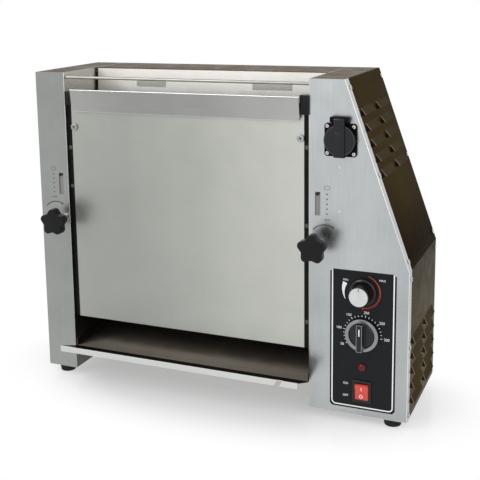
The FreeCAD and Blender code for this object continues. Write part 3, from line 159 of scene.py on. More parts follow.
def new_material(name):
    """A new material, kept among the finishes; returns its nodes, its shader and its object coordinates."""
    material = bpy.data.materials.new(name)
    material.use_nodes = True
    FINISHES[name] = material
    tree = material.node_tree
    place = add_node(tree, "ShaderNodeTexCoord").outputs["Object"]
    return tree, tree.nodes["Principled BSDF"], place


def brushed_steel(name, hex_text, along, rough=(0.24, 0.38), contrast=0.16, bump=0.12, bands=0.0,
                  sweep=None, edge="#ffffff"):
    """Stainless sheet with a linear grain.

    The fine streaks spread each highlight across the grain. Real ones are about 0.1 mm apart, and
    the grain setting draws them coarser so that they show. Broad hazy patches, like wiped
    fingerprints, and slow upright bands keep a large sheet from looking like paint. A sweep is
    (axis, start, end, levels) and paints light and shade: the tone passes through the levels,
    evenly spaced along the axis.
    The edge colour tints what the sheet mirrors at a glancing angle.
    """
    tree, shader, place = new_material(name)
    streaks = brush_streaks(tree, place, along)
    tone = hazed(tree, place, streaks, linear(hex_text), contrast)
    if bands:
        tone = banded(tree, place, tone, bands)
    if sweep:
        tone = swept(tree, place, tone, *sweep)
    smudge = add_node(tree, "ShaderNodeTexNoise",
                      {"Scale": SMUDGES_PER_METRE, "Detail": 6.0, "Roughness": 0.7}, {"Vector": place})
    polish = add_node(tree, "ShaderNodeMapRange", {**NOISE_SPAN, "To Min": rough[0], "To Max": rough[1]},
                      {"Value": smudge.outputs["Fac"]})
    lines = add_node(tree, "ShaderNodeBump", {"Strength": bump, "Distance": GRAIN_DEPTH},
                     {"Height": streaks})
    tree.links.new(tone, shader.inputs["Base Color"])
    tree.links.new(polish.outputs["Result"], shader.inputs["Roughness"])
    tree.links.new(lines.outputs["Normal"], shader.inputs["Normal"])
    shader.inputs["Metallic"].default_value = 1.0
    shader.inputs["Specular Tint"].default_value = linear(edge)


def brush_streaks(tree, place, along):
    """Noise drawn out along one axis."""
    fine = 1.0 / finish().grain
    scale = [fine / STREAK_STRETCH if axis == along else fine for axis in "XYZ"]
    stretch = add_node(tree, "ShaderNodeMapping", {"Scale": scale}, {"Vector": place})
    streaks = add_node(tree, "ShaderNodeTexNoise", {"Scale": 1.0, "Detail": 4.0, "Roughness": 0.62},
                       {"Vector": stretch.outputs["Vector"]})
    return streaks.outputs["Fac"]


def hazed(tree, place, streaks, colour, contrast):
    """A colour darkened by up to the contrast along streaks and in patches, and lightened by 0.6 of it."""
    haze = add_node(tree, "ShaderNodeTexNoise",
                    {"Scale": HAZE_PER_METRE, "Detail": 5.0, "Roughness": 0.6}, {"Vector": place})
    mixed = add_node(tree, "ShaderNodeMath", {"operation": "MULTIPLY_ADD", 1: STREAK_WEIGHT},
                     {0: streaks, 2: haze.outputs["Fac"]})
    stops = [(0.45, shade(colour, 1 - contrast)), (0.78, colour), (1.0, shade(colour, 1 + contrast * 0.6))]
    ramp = add_node(tree, "ShaderNodeValToRGB", {}, {"Fac": mixed.outputs["Value"]}, stops)
    return ramp.outputs["Color"]


def banded(tree, place, tone, bands):
    """A colour with slow upright bands, each lighter or darker by up to the given share."""
    tall = add_node(tree, "ShaderNodeMapping", {"Scale": BANDS_PER_METRE}, {"Vector": place})
    slow = add_node(tree, "ShaderNodeTexNoise", {"Scale": 1.0, "Detail": 2.0, "Roughness": 0.4},
                    {"Vector": tall.outputs["Vector"]})
    level = add_node(tree, "ShaderNodeMapRange", {**NOISE_SPAN, "To Min": 1 - bands, "To Max": 1 + bands},
                     {"Value": slow.outputs["Fac"]})
    item = add_node(tree, "ShaderNodeVectorMath", {"operation": "SCALE"},
                    {"Vector": tone, "Scale": level.outputs["Result"]})
    return item.outputs["Vector"]


def swept(tree, place, tone, axis, start, end, levels):
    """Painted light and shade: the colour runs through levels of brightness along an axis, start to end."""
    split = add_node(tree, "ShaderNodeSeparateXYZ", {}, {"Vector": place})
    along = add_node(tree, "ShaderNodeMapRange", {"From Min": start, "From Max": end},
                     {"Value": split.outputs[axis]})
    peak = max(levels)
    stops = [(step / (len(levels) - 1), shade((1, 1, 1), level / peak)) for step, level in enumerate(levels)]
    light = add_node(tree, "ShaderNodeValToRGB", {}, {"Fac": along.outputs["Result"]}, stops)
    lit = add_node(tree, "ShaderNodeVectorMath", {"operation": "MULTIPLY"},
                   {0: tone, 1: light.outputs["Color"]})
    item = add_node(tree, "ShaderNodeVectorMath", {"operation": "SCALE", "Scale": peak},
                    {"Vector": lit.outputs["Vector"]})
    return item.outputs["Vector"]


def mottled(name, hex_text, rough, grit, contrast, bump=0.2, shine=0.5, metallic=0.0, coat=0.0,
            depth=GRAIN_DEPTH):
    """A moulded, cast or plated surface: an even colour with the fine unevenness of its making.

    The grit is in grains per metre. Real grains are a tenth of a millimetre or less, and are drawn
    about a millimetre wide so that they show. Soft clouds, 25 times as wide, vary the colour.
    """
    tree, shader, place = new_material(name)
    colour = linear(hex_text)
    grains = add_node(tree, "ShaderNodeTexNoise", {"Scale": grit, "Detail": 5.0, "Roughness": 0.65},
                      {"Vector": place})
    cloud = add_node(tree, "ShaderNodeTexNoise", {"Scale": grit / 25.0, "Detail": 3.0}, {"Vector": place})
    tone = add_node(tree, "ShaderNodeValToRGB", {}, {"Fac": cloud.outputs["Fac"]},
                    [(0.3, shade(colour, 1 - contrast)), (0.7, shade(colour, 1 + contrast))])
    low, high = (rough * share for share in ROUGH_SHARES)
    wear = add_node(tree, "ShaderNodeMapRange", {**NOISE_SPAN, "To Min": low, "To Max": high},
                    {"Value": grains.outputs["Fac"]})
    relief = add_node(tree, "ShaderNodeBump", {"Strength": bump, "Distance": depth},
                      {"Height": grains.outputs["Fac"]})
    tree.links.new(tone.outputs["Color"], shader.inputs["Base Color"])
    tree.links.new(wear.outputs["Result"], shader.inputs["Roughness"])
    tree.links.new(relief.outputs["Normal"], shader.inputs["Normal"])
    shader.inputs["Metallic"].default_value = metallic
    shader.inputs["Specular IOR Level"].default_value = shine
    shader.inputs["Coat Weight"].default_value = coat


def lit_lens(name, hex_text, glow):
    """Clear red polycarbonate with a neon behind it: glossy, deep and slightly glowing."""
    mottled(name, hex_text, rough=0.22, grit=900.0, contrast=0.1, bump=0.05, shine=0.3, depth=0.1 * MM)
    shader = FINISHES[name].node_tree.nodes["Principled BSDF"]
    shader.inputs["Emission Color"].default_value = linear(hex_text)
    shader.inputs["Emission Strength"].default_value = glow


def woven(name, hex_text, pitch):
    """Coated glass cloth: crossing threads show as a fine square weave with a waxy sheen.

    Its real threads are about 0.5 mm apart; the pitch is coarser so that they show.
    """
    tree, shader, place = new_material(name)
    colour = linear(hex_text)
    threads = []
    for direction in ("X", "Z"):
        wave = add_node(tree, "ShaderNodeTexWave",
                        {"bands_direction": direction, "Scale": WAVE_LENGTH / pitch, "Distortion": 0.3},
                        {"Vector": place})
        threads.append(wave.outputs["Fac"])
    weave = add_node(tree, "ShaderNodeMath", {"operation": "MULTIPLY"}, dict(enumerate(threads)))
    tone = add_node(tree, "ShaderNodeValToRGB", {}, {"Fac": weave.outputs["Value"]},
                    [(0.0, shade(colour, 0.55)), (0.8, shade(colour, 1.15))])
    relief = add_node(tree, "ShaderNodeBump", {"Strength": 0.5, "Distance": 0.4 * MM},
                      {"Height": weave.outputs["Value"]})
    tree.links.new(tone.outputs["Color"], shader.inputs["Base Color"])
    tree.links.new(relief.outputs["Normal"], shader.inputs["Normal"])
    shader.inputs["Roughness"].default_value = 0.5


def front_sheets():
    """The stainless that faces the camera and the lamp."""
    kit = finish()
    # Brushed upright; the tall narrow column stands a little in its own shade.
    brushed_steel("shaded front stainless", kit.shaded, "Z", bands=0.03,
                  sweep=("Z", 0.02, 0.54, (1.02, 0.98, 0.93, 0.92)))
    # Brushed upright; paler towards the top, where the lamp's soft edge falls on it.
    brushed_steel("brushed front stainless", kit.steel, "Z", bands=0.05,
                  sweep=("Z", 0.02, 0.54, (0.96, 0.98, 1.06, 1.12)))
    # Fold highlight: the bent edge of a sheet, polished and painted nearly white as a highlight, so it draws
    # a pale line.
    brushed_steel("fold highlight stainless", "#eff0ef", "Z", rough=(0.16, 0.24), contrast=0.05, bump=0.03)
    # Satin sheet: finer grain and no mirror, so the cover reads as one soft pale field; painted light makes
    # it dimmer to the left and brighter to the right.
    brushed_steel("satin cover stainless", kit.cover, "X", rough=(0.34, 0.48), contrast=0.07, bump=0.06,
                  bands=0.07, sweep=("X", -0.26, 0.16, (0.92, 0.88, 0.95, 1.1, 1.24)))
    # Brushed along its length; painted light and reflection make it bright at both ends and dimmest left of
    # its middle.
    brushed_steel("brushed lip stainless", "#a2a3a0", "X", rough=(0.28, 0.42), contrast=0.14, bump=0.1,
                  bands=0.05, sweep=("X", -0.26, 0.16, (1.02, 0.84, 0.92, 1.16)))
    # Bright annealed sheet, warm and almost white, only faintly clouded.
    brushed_steel("bright guide stainless", "#e2e1dc", "X", rough=(0.3, 0.4), contrast=0.05, bump=0.05,
                  bands=0.03)
    # The tray's turned lip, a lit copy of the tray's steel: it faces the lamp, and painted light draws a
    # bright strip on it.
    brushed_steel("lit lip stainless", "#cfd1ce", "X", rough=(0.26, 0.36), contrast=0.06, bump=0.04)


def dim_sheets():
    """The stainless whose colour holds a painted reflection of the dim room or of the machine's inside, or
    painted shade.
    """
    # Polished sheet with a painted reflection of the dim room: a brown sheen, darkest where it bends at the
    # knee.
    brushed_steel("polished side stainless", finish().side, "Y", rough=(0.22, 0.36), contrast=0.3,
                  bump=0.06, bands=0.1, edge="#aaa8a3",
                  sweep=("Z", 0.02, 0.52, (0.86, 0.68, 0.44, 0.08, 0.24, 0.32, 0.29)))
    # Hoods pressed proud of the side: an even grey-brown painted reflection that doesn't follow the sheet's
    # sweep.
    brushed_steel("pressed hood stainless", "#4d463a", "Y", rough=(0.26, 0.4), contrast=0.2, bump=0.06,
                  bands=0.1, edge="#aaa8a3")
    # The hoods' rims, a painted highlight brighter than the sheet: each hood gets a thin pale outline.
    brushed_steel("hood rim highlight stainless", "#8f897c", "Y", rough=(0.2, 0.3), contrast=0.1, bump=0.04)
    # The back stands away from the lamp: painted shade makes it an even grey, with a soft mirror of the room.
    brushed_steel("polished back stainless", "#6f6a62", "X", rough=(0.26, 0.4), contrast=0.2, bump=0.06,
                  bands=0.06, edge="#cbc8c0")
    # Caps and top plate carry a painted reflection of the room's ceiling: brown, and lighter towards the
    # right.
    brushed_steel("polished top stainless", "#6c6149", "X", rough=(0.2, 0.32), contrast=0.22, bump=0.05,
                  bands=0.08, edge="#9a938a", sweep=("X", -0.3, 0.25, (0.8, 0.9, 1.1, 1.25)))
    # The left wall is dim low in the bay, and its top edge faces the lamp above the opening.
    brushed_steel("pale inner stainless", "#c2c0b9", "Z", rough=(0.25, 0.4), contrast=0.12,
                  sweep=("Z", 0.05, 0.5, (0.3, 0.35, 0.5, 1.0)))
    # The right wall shows only through the feed opening: painted shade, an even middle grey.
    brushed_steel("shaded inner stainless", "#8b8780", "Z", rough=(0.25, 0.4), contrast=0.2)
    # The pan's floor is kept dark by a painted reflection of the platen's black underside and painted shade,
    # darkest at the front.
    brushed_steel("shaded tray stainless", "#746e64", "X", rough=(0.3, 0.42), contrast=0.12, bump=0.05,
                  bands=0.1, edge="#bcbab6", sweep=("Y", -0.13, 0.05, (0.24, 0.4, 1.0, 1.3)))


# Metal finishes: colour, roughness, grit, contrast and bump.
METALS = {
    # Turned and ground: tight highlights between dark reflections.
    "turned bright steel": ("#cfcdc6", 0.16, 1400.0, 0.06, 0.05),
    # Drawn through a die: one soft line of light along the rod.
    "drawn guard rod": ("#9d9b94", 0.3, 1100.0, 0.1, 0.05),
    # Zinc plate: a soft grey, faintly spangled.
    "zinc plated steel": ("#9fa2a0", 0.36, 700.0, 0.12, 0.2),
    # Strip that slides in its slot: scuffed to a flat grey.
    "dull scale strip": ("#8b8a85", 0.45, 900.0, 0.08, 0.2),
    # Zinc screws deep in the bay's dark edges, darkened by painted shade.
    "bay shade zinc": ("#57554f", 0.45, 900.0, 0.1, 0.2),
    # Heater sheath, scaled and stained brown by its own heat.
    "element sheath": ("#5b554d", 0.5, 500.0, 0.25, 0.2),
    # Steel under oil: dark with wet highlights.
    "oiled chain steel": ("#5e5b57", 0.34, 900.0, 0.2, 0.2),
    # Pressed from powder: a golden brown that looks faintly porous.
    "sintered bronze": ("#a5813f", 0.48, 1500.0, 0.12, 0.35),
    # Spun aluminium: a soft bright disc without a sharp mirror.
    "satin aluminium face": ("#d4d5d5", 0.28, 1500.0, 0.05, 0.1),
    # Blasted before plating: a cool grey whose highlight is crisp but not a mirror.
    "satin chrome ring": ("#8d9193", 0.2, 1500.0, 0.05, 0.1),
}

# Plastic, rubber and ink: colour, roughness, grit, contrast, bump and shine.
MOULDINGS = {
    # Rail painted near black as shade, so the gap beside the cover reads as shadow.
    "shadow black rail": ("#070706", 0.5, 900.0, 0.1, 0.2, 0.15),
    # Finely grained mould: black with a cool soft sheen.
    "black socket moulding": ("#0e1013", 0.3, 1300.0, 0.08, 0.15, 0.35),
    # Walls and creases that face away from the light, so a lid's outline stays readable.
    "shaded black moulding": ("#040405", 0.5, 1300.0, 0.08, 0.15, 0.08),
    # Raised rim where fingers grip the lid: a thin grey line, painted as its highlight.
    "lid rim highlight black": ("#3c3f44", 0.3, 1300.0, 0.08, 0.1, 0.5),
    # Polished mould: black with clear highlights along its edges.
    "gloss black moulding": ("#0a0a0b", 0.2, 900.0, 0.08, 0.06, 0.4),
    # Screen-printed polyester film: an even black, faintly satin.
    "printed black label": ("#0f1114", 0.4, 1100.0, 0.06, 0.05, 0.2),
    # Screen inks: flat and even, with crisp outlines.
    "white print": ("#f4f6f5", 0.45, 900.0, 0.02, 0.02, 0.5),
    "red print": ("#c4402f", 0.45, 900.0, 0.03, 0.02, 0.5),
    "black print": ("#17181a", 0.45, 900.0, 0.03, 0.02, 0.2),
    # Dark grey, painted shade: the shade at the bottom of a screw's cross, or of a pressed mark.
    "recess shade grey": ("#4b4d4e", 0.45, 900.0, 0.03, 0.02, 0.2),
    # Rubber: dull and slightly dusty, never a full black.
    "foot rubber": ("#19191a", 0.78, 1200.0, 0.15, 0.4, 0.3),
    # Cream phenolic of the electrical units: plain and dull.
    "unit moulding": ("#b8b09c", 0.5, 900.0, 0.05, 0.2, 0.5),
}


def other_finishes():
    """Metal, plastic, paint, ink, lenses and cloth."""
    kit = finish()
    for name, (hex_text, rough, grit, contrast, bump) in METALS.items():
        mottled(name, hex_text, rough, grit, contrast, bump, metallic=1.0)
    for name, (hex_text, rough, grit, contrast, bump, shine) in MOULDINGS.items():
        mottled(name, hex_text, rough, grit, contrast, bump, shine)
    # Cast iron keeps the sand's grain: rough and nearly black.
    mottled("cast platen iron", "#3d3b39", rough=0.62, grit=650.0, contrast=0.18, bump=0.5, metallic=0.9,
            depth=0.5 * MM)
    # Glass-filled nylon: a dull grain that turns pale only where a lobe faces the lamp.
    mottled("matt black nylon", kit.plastic, rough=0.34, grit=1600.0, contrast=0.08, shine=0.2)
    # Sprayed enamel over a casting: dark grey under a thin gloss.
    mottled("gear case paint", "#3a3d40", rough=0.4, grit=500.0, contrast=0.08, bump=0.3, coat=0.1)
    # The rocker is lit from behind and the lamp is almost out.
    lit_lens("red lit lens", kit.lens, glow=0.22)
    lit_lens("red lamp lens", "#5a0c11", glow=0.08)
    # Cloth of the belts and, finer and more golden, of the sheet over the platen.
    woven("belt cloth", "#6f6453", pitch=2.4 * MM)
    woven("release cloth", "#7c6444", pitch=1.2 * MM)


# Solids that keep their own mesh, under the finish that each takes.
NODE_FINISH = {
    "polished side stainless": ("left_side_panel",),
    "pale inner stainless": ("left_inner_wall",),
    "shaded inner stainless": ("right_inner_wall",),
    "polished top stainless": ("left_top_cap", "right_top_cap", "rear_top_plate"),
    "polished back stainless": ("rear_panel",),
    "satin cover stainless": ("front_cover",),
    "bright guide stainless": ("rear_guide_plate",),
    "shadow black rail": ("cover_rails",),
    "drawn guard rod": ("guard_rod",),
    "cast platen iron": ("platen",),
    "element sheath": ("heating_elements",),
    "release cloth": ("release_sheet",),
    "belt cloth": ("front_belt", "rear_belt"),
    "sintered bronze": ("shaft_bushes",),
    "dull scale strip": ("left_pointer", "right_pointer"),
    "printed black label": ("control_label",),
    "unit moulding": ("control_units",),
    "oiled chain steel": ("front_sprocket", "rear_sprocket", "motor_sprocket", "drive_chain"),
    "turned bright steel": (
        "front_drive_roller", "rear_drive_roller", "front_idler_roller", "rear_idler_roller",
        "spindle_nuts", "left_spindle", "right_spindle"),
    "zinc plated steel": (
        "left_base_plate", "right_base_plate", "platen_brackets", "front_belt_frame", "rear_belt_frame",
        "motor_bracket", "left_yoke", "right_yoke", "tray_runners"),
}

# Moulded and cast pieces: finish, and edge rounding as a multiple of the setting.
ROUNDED = {
    "left_star_knob": ("matt black nylon", 2.2),
    "right_star_knob": ("matt black nylon", 2.2),
    "socket_body": ("shaded black moulding", 0.6),
    "socket_lid": ("black socket moulding", 1.2),
    "lip_end_blocks": ("matt black nylon", 1.2),
    "feet": ("foot rubber", 1.5),
    "rocker_housing": ("gloss black moulding", 0.6),
    "rocker_button": ("red lit lens", 0.5),
    "thermostat_knob": ("gloss black moulding", 0.7),
    "speed_knob": ("gloss black moulding", 0.7),
    "indicator_lamp": ("red lamp lens", 0.4),
    "cord_gland": ("matt black nylon", 0.7),
    "gear_motor": ("gear case paint", 1.0),
}

# Sheets whose rounded front folds get a painted highlight: the sheet's own finish and the fold's radius.
FOLDED = {
    "left_front_panel": ("shaded front stainless", 1.0 * MM),
    "right_front_panel": ("brushed front stainless", 1.3 * MM),
    "feed_lip": ("brushed lip stainless", 0.5 * MM),
    "discharge_tray": ("shaded tray stainless", 0.5 * MM),
}


# Meshes

MERGE_DISTANCE = 0.001 * MM
FLAT_ANGLE = math.radians(1.0)
SHARP_ANGLE = math.radians(32)
SMOOTH_ANGLE = math.radians(34)
# Folds are longer than this and lie this near the front.
SHORTEST_FOLD = 80 * MM
FOLD_DEPTH = 9 * MM
# Print stands this far off its face and is this thick.
PRINT_GAP = 0.01 * MM
PRINT_HEIGHT = 0.12 * MM
# Print faces the front: its drawing X stays X, its Y becomes up and its height comes forward.
FRONTWARD = Matrix(((1, 0, 0, 0), (0, 0, -1, 0), (0, 1, 0, 0), (0, 0, 0, 1)))


def body_of(node):
    for body, nodes in frame["record"]["behaviour"]["bodies"].items():
        if node in nodes:
            return body
    raise RuntimeError("no body holds " + node)


def middle(node):
    low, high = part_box(node)
    return (Vector(low) + Vector(high)) * 0.5


def front_of(node):
    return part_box(node)[0][1]


def looks_forward(face, share):
    """Whether at least this share of the face's unit normal points to the front."""
    return face.normal.y <= -share


def place_piece(bm, name, finish_name, node):
    """Makes a shape a piece that rides with a node's body."""
    mesh = bpy.data.meshes.new(name)
    bm.to_mesh(mesh)
    bm.free()
    mesh.polygons.foreach_set("use_smooth", [True] * len(mesh.polygons))
    mesh.set_sharp_from_angle(angle=SMOOTH_ANGLE)
    mesh.materials.append(FINISHES[finish_name])
    piece = bpy.data.objects.new(name, mesh)
    bpy.context.scene.collection.objects.link(piece)
    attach(piece, body_of(node))
    return piece


def add_finishes(mesh, *names):
    """Adds finishes after the piece's own, which is number 0."""
    for name in names:
        mesh.materials.append(FINISHES[name])


def merged_copy(node):
    """The solid's own mesh with its loose triangles merged and its flat faces whole."""
    bm = bmesh.new()
    bm.from_mesh(bpy.data.objects[node].data)
    bmesh.ops.remove_doubles(bm, verts=bm.verts, dist=MERGE_DISTANCE)
    bmesh.ops.dissolve_limit(bm, angle_limit=FLAT_ANGLE, verts=bm.verts, edges=bm.edges)
    return bm


def is_sharp(edge):
    return len(edge.link_faces) == 2 and edge.calc_face_angle(0) > SHARP_ANGLE


def round_edges(bm, width, segments, edges=None, material=-1):
    """Rounds the given edges, or else every sharp one."""
    chosen = [edge for edge in bm.edges if is_sharp(edge)] if edges is None else edges
    bmesh.ops.bevel(bm, geom=chosen, offset=width, offset_type="OFFSET", affect="EDGES",
                    segments=segments, profile=0.5, clamp_overlap=True, material=material)


def front_folds(bm):
    """The long outer folds near the frontmost face."""
    limit = min(vert.co.y for vert in bm.verts) + FOLD_DEPTH
    return [edge for edge in bm.edges
            if is_sharp(edge) and edge.calc_length() > SHORTEST_FOLD and edge.is_convex
            and all(vert.co.y < limit for vert in edge.verts)]


def flat_ring(bm, outer, inner, segments, stretch=1.0):
    """A flat ring in the XY plane, bridged between two circles; stretch is its width to its height."""
    loops = []
    for radius in (outer, inner):
        wide = outer * stretch - (outer - radius)
        matrix = Matrix.Diagonal((wide / radius, 1, 1, 1))
        made = bmesh.ops.create_circle(bm, cap_ends=False, radius=radius, segments=segments, matrix=matrix)
        loops += [edge for edge in bm.edges if edge.verts[0] in made["verts"]]
    bmesh.ops.bridge_loops(bm, edges=loops)


def disc(bm, radius, segments, y=0.0):
    bmesh.ops.create_circle(bm, cap_ends=True, radius=radius, segments=segments,
                            matrix=Matrix.Translation((0, y, 0)))


def bar(bm, wide, high, x=0.0, y=0.0, turn=0.0):
    place = Matrix.Translation((x, y, 0)) @ Matrix.Rotation(turn, 4, "Z")
    bmesh.ops.create_grid(bm, x_segments=1, y_segments=1, size=0.5,
                          matrix=place @ Matrix.Diagonal((wide, high, 1, 1)))


def spoke(angle):
    """The direction at an angle in the drawing."""
    return Vector((math.cos(angle), math.sin(angle), 0))


def words(text, size, x, y):
    """Flat letters as a mesh, centred on a point of the drawing."""
    curve = bpy.data.curves.new("letters", "FONT")
    curve.body = text
    curve.size = size
    curve.align_x = "CENTER"
    curve.align_y = "CENTER"
    curve.resolution_u = 3
    holder = bpy.data.objects.new("letters", curve)
    bpy.context.scene.collection.objects.link(holder)
    mesh = bpy.data.meshes.new_from_object(holder)
    bpy.data.objects.remove(holder)
    mesh.transform(Matrix.Translation((x, y, 0)))
    return mesh


def thicken(bm, height):
    """Gives flat print a thickness, away from the face it lies on."""
    made = bmesh.ops.extrude_face_region(bm, geom=bm.faces[:])
    moved = [item for item in made["geom"] if isinstance(item, bmesh.types.BMVert)]
    bmesh.ops.translate(bm, verts=moved, vec=(0, 0, height))
    bmesh.ops.recalc_face_normals(bm, faces=bm.faces)


def face_front(bm, origin):
    """Stands a drawing up at a point, facing the front."""
    bm.transform(Matrix.Translation(origin) @ FRONTWARD)


def print_piece(bm, name, finish_name, node, origin):
    """Puts flat print on a front face at a point; it rides with the node's body."""
    thicken(bm, PRINT_HEIGHT)
    face_front(bm, origin)
    return place_piece(bm, name, finish_name, node)


def print_on(bm, name, finish_name, node, gap=PRINT_GAP):
    """Puts flat print on the middle of a node's front."""
    spot = middle(node)
    return print_piece(bm, name, finish_name, node, (spot.x, front_of(node) - gap, spot.z))


# Pieces

class TOASTER_OT_finishes(bpy.types.Operator):
    """Makes the finishes and gives each solid its own."""
    bl_idname = "toaster.finishes"
    bl_label = "Finishes"

    def execute(self, context):
        front_sheets()
        dim_sheets()
        other_finishes()
        for name, nodes in NODE_FINISH.items():
            for node in nodes:
                mesh = bpy.data.objects[node].data
                mesh.materials.clear()
                mesh.materials.append(FINISHES[name])
        return {"FINISHED"}


class TOASTER_OT_rounded(bpy.types.Operator):
    """Rounds the edges of moulded pieces, feet and screws."""
    bl_idname = "toaster.rounded"
    bl_label = "Rounded pieces"

    def execute(self, context):
        for node, (name, multiple) in ROUNDED.items():
            self.round_piece(node, name, finish().edge_round * multiple)
        screws = self.round_piece("fasteners", "turned bright steel", finish().screw_round)
        self.shade_bay_screws(screws.data)
        return {"FINISHED"}

    @staticmethod
    def round_piece(node, finish_name, radius):
        bm = merged_copy(node)
        round_edges(bm, radius, 3)
        piece = place_piece(bm, node + "_rounded", finish_name, node)
        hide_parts(node)
        return piece

    @staticmethod
    def shade_bay_screws(mesh):
        """Screws on the cover are plain zinc; those in the bay's two dark edges get painted shade."""
        add_finishes(mesh, "bay shade zinc", "zinc plated steel")
        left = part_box("left_front_panel")[1][0]
        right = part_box("right_front_panel")[0][0]
        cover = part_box("front_cover")
        for face in mesh.polygons:
            if left < face.center.x < right:
                on_cover = cover[0][0] < face.center.x < cover[1][0]
                face.material_index = 2 if on_cover else 1


class TOASTER_OT_folded(bpy.types.Operator):
    """Rounds the long front folds of the columns, the lip and the tray, and paints a highlight on them."""
    bl_idname = "toaster.folded"
    bl_label = "Folded sheets"

    LIP_DEPTH = 6 * MM

    def execute(self, context):
        for node, (name, radius) in FOLDED.items():
            bm = merged_copy(node)
            round_edges(bm, radius, 3, front_folds(bm), material=1)
            piece = place_piece(bm, node + "_folded", name, node)
            add_finishes(piece.data, "fold highlight stainless")
            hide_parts(node)
        self.brighten_lip()
        return {"FINISHED"}

    def brighten_lip(self):
        """Paints light on the tray's turned-down lip, which faces the lamp."""
        mesh = bpy.data.objects["discharge_tray_folded"].data
        add_finishes(mesh, "lit lip stainless")
        limit = front_of("discharge_tray") + self.LIP_DEPTH
        for face in mesh.polygons:
            if face.material_index == 0 and face.center.y < limit:
                face.material_index = 2


class TOASTER_OT_louvres(bpy.types.Operator):
    """Sets the louvres off from their sheet: hoods in a greyer painted reflection, rims with a painted
    highlight.
    """
    bl_idname = "toaster.louvres"
    bl_label = "Side louvres"

    RIM_WIDTH = 0.45 * MM
    RIM_LENGTHS = (8 * MM, 60 * MM)
    # A face this far outside the sheet belongs to a hood.
    PROUD = 0.3 * MM

    def execute(self, context):
        node = "right_side_panel"
        bm = merged_copy(node)
        shortest, longest = self.RIM_LENGTHS
        rims = [edge for edge in bm.edges
                if is_sharp(edge) and edge.is_convex and shortest < edge.calc_length() < longest]
        round_edges(bm, self.RIM_WIDTH, 2, rims, material=2)
        piece = place_piece(bm, node + "_louvred", "polished side stainless", node)
        add_finishes(piece.data, "pressed hood stainless", "hood rim highlight stainless")
        self.mark_hoods(piece.data)
        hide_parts(node)
        return {"FINISHED"}

    def mark_hoods(self, mesh):
        """Gives the hoods their finish and keeps every face flat, as folded sheet is."""
        sheets = self.outer_faces(mesh)
        for face in mesh.polygons:
            face.use_smooth = False
            proud = max((face.center - point).dot(normal) for point, normal in sheets)
            if face.material_index == 0 and proud > self.PROUD:
                face.material_index = 1

    @staticmethod
    def outer_faces(mesh):
        """A point on the upright and on the slanted outer face, each with its unit normal."""
        straight = 0.99
        upright = [face for face in mesh.polygons if face.normal.x > straight]
        slanted = [face for face in mesh.polygons
                   if 0.5 < face.normal.x < straight and face.normal.z > 0.1]
        widest = [max(group, key=lambda face: face.area) for group in (upright, slanted)]
        return [(face.center.copy(), face.normal.copy()) for face in widest]


class TOASTER_OT_screw_slots(bpy.types.Operator):
    """Paints the shade of the cross recess in each screw head of the front and of the right side."""
    bl_idname = "toaster.screw_slots"
    bl_label = "Screw recesses"

    # A head's flat top: its least area in square millimetres and its fewest corners.
    LEAST_AREA = 20
    FEWEST_CORNERS = 12
    # The cross: its turn, its arms' width as a share of their length, and how it lies on the head.
    TURN = 0.35
    ARM_WIDTH = 0.22
    ARM_HEIGHT = 0.1 * MM
    LIFT = 0.04 * MM

    def execute(self, context):
        source = merged_copy("fasteners")
        bm = bmesh.new()
        for face in source.faces:
            area = face.calc_area() / MM ** 2
            if area > self.LEAST_AREA and len(face.verts) >= self.FEWEST_CORNERS and self.is_head(face):
                self.cross(bm, face, math.sqrt(area / math.pi) * MM)
        source.free()
        place_piece(bm, "screw_recesses", "recess shade grey", "fasteners")
        return {"FINISHED"}

    def cross(self, bm, face, reach):
        turn = face.normal.to_track_quat("Z", "Y").to_matrix().to_4x4()
        base = Matrix.Translation(face.calc_center_median() + face.normal * self.LIFT) @ turn
        size = Matrix.Diagonal((reach, reach * self.ARM_WIDTH, self.ARM_HEIGHT, 1))
        for angle in (self.TURN, self.TURN + math.pi / 2):
            bmesh.ops.create_cube(bm, size=1.0, matrix=base @ Matrix.Rotation(angle, 4, "Z") @ size)

    @staticmethod
    def is_head(face):
        """A head's outer face looks forward, or to the right on the right side."""
        looks_right = face.normal.x > 0.8
        return face.calc_center_median().x > 0 if looks_right else looks_forward(face, 0.9)


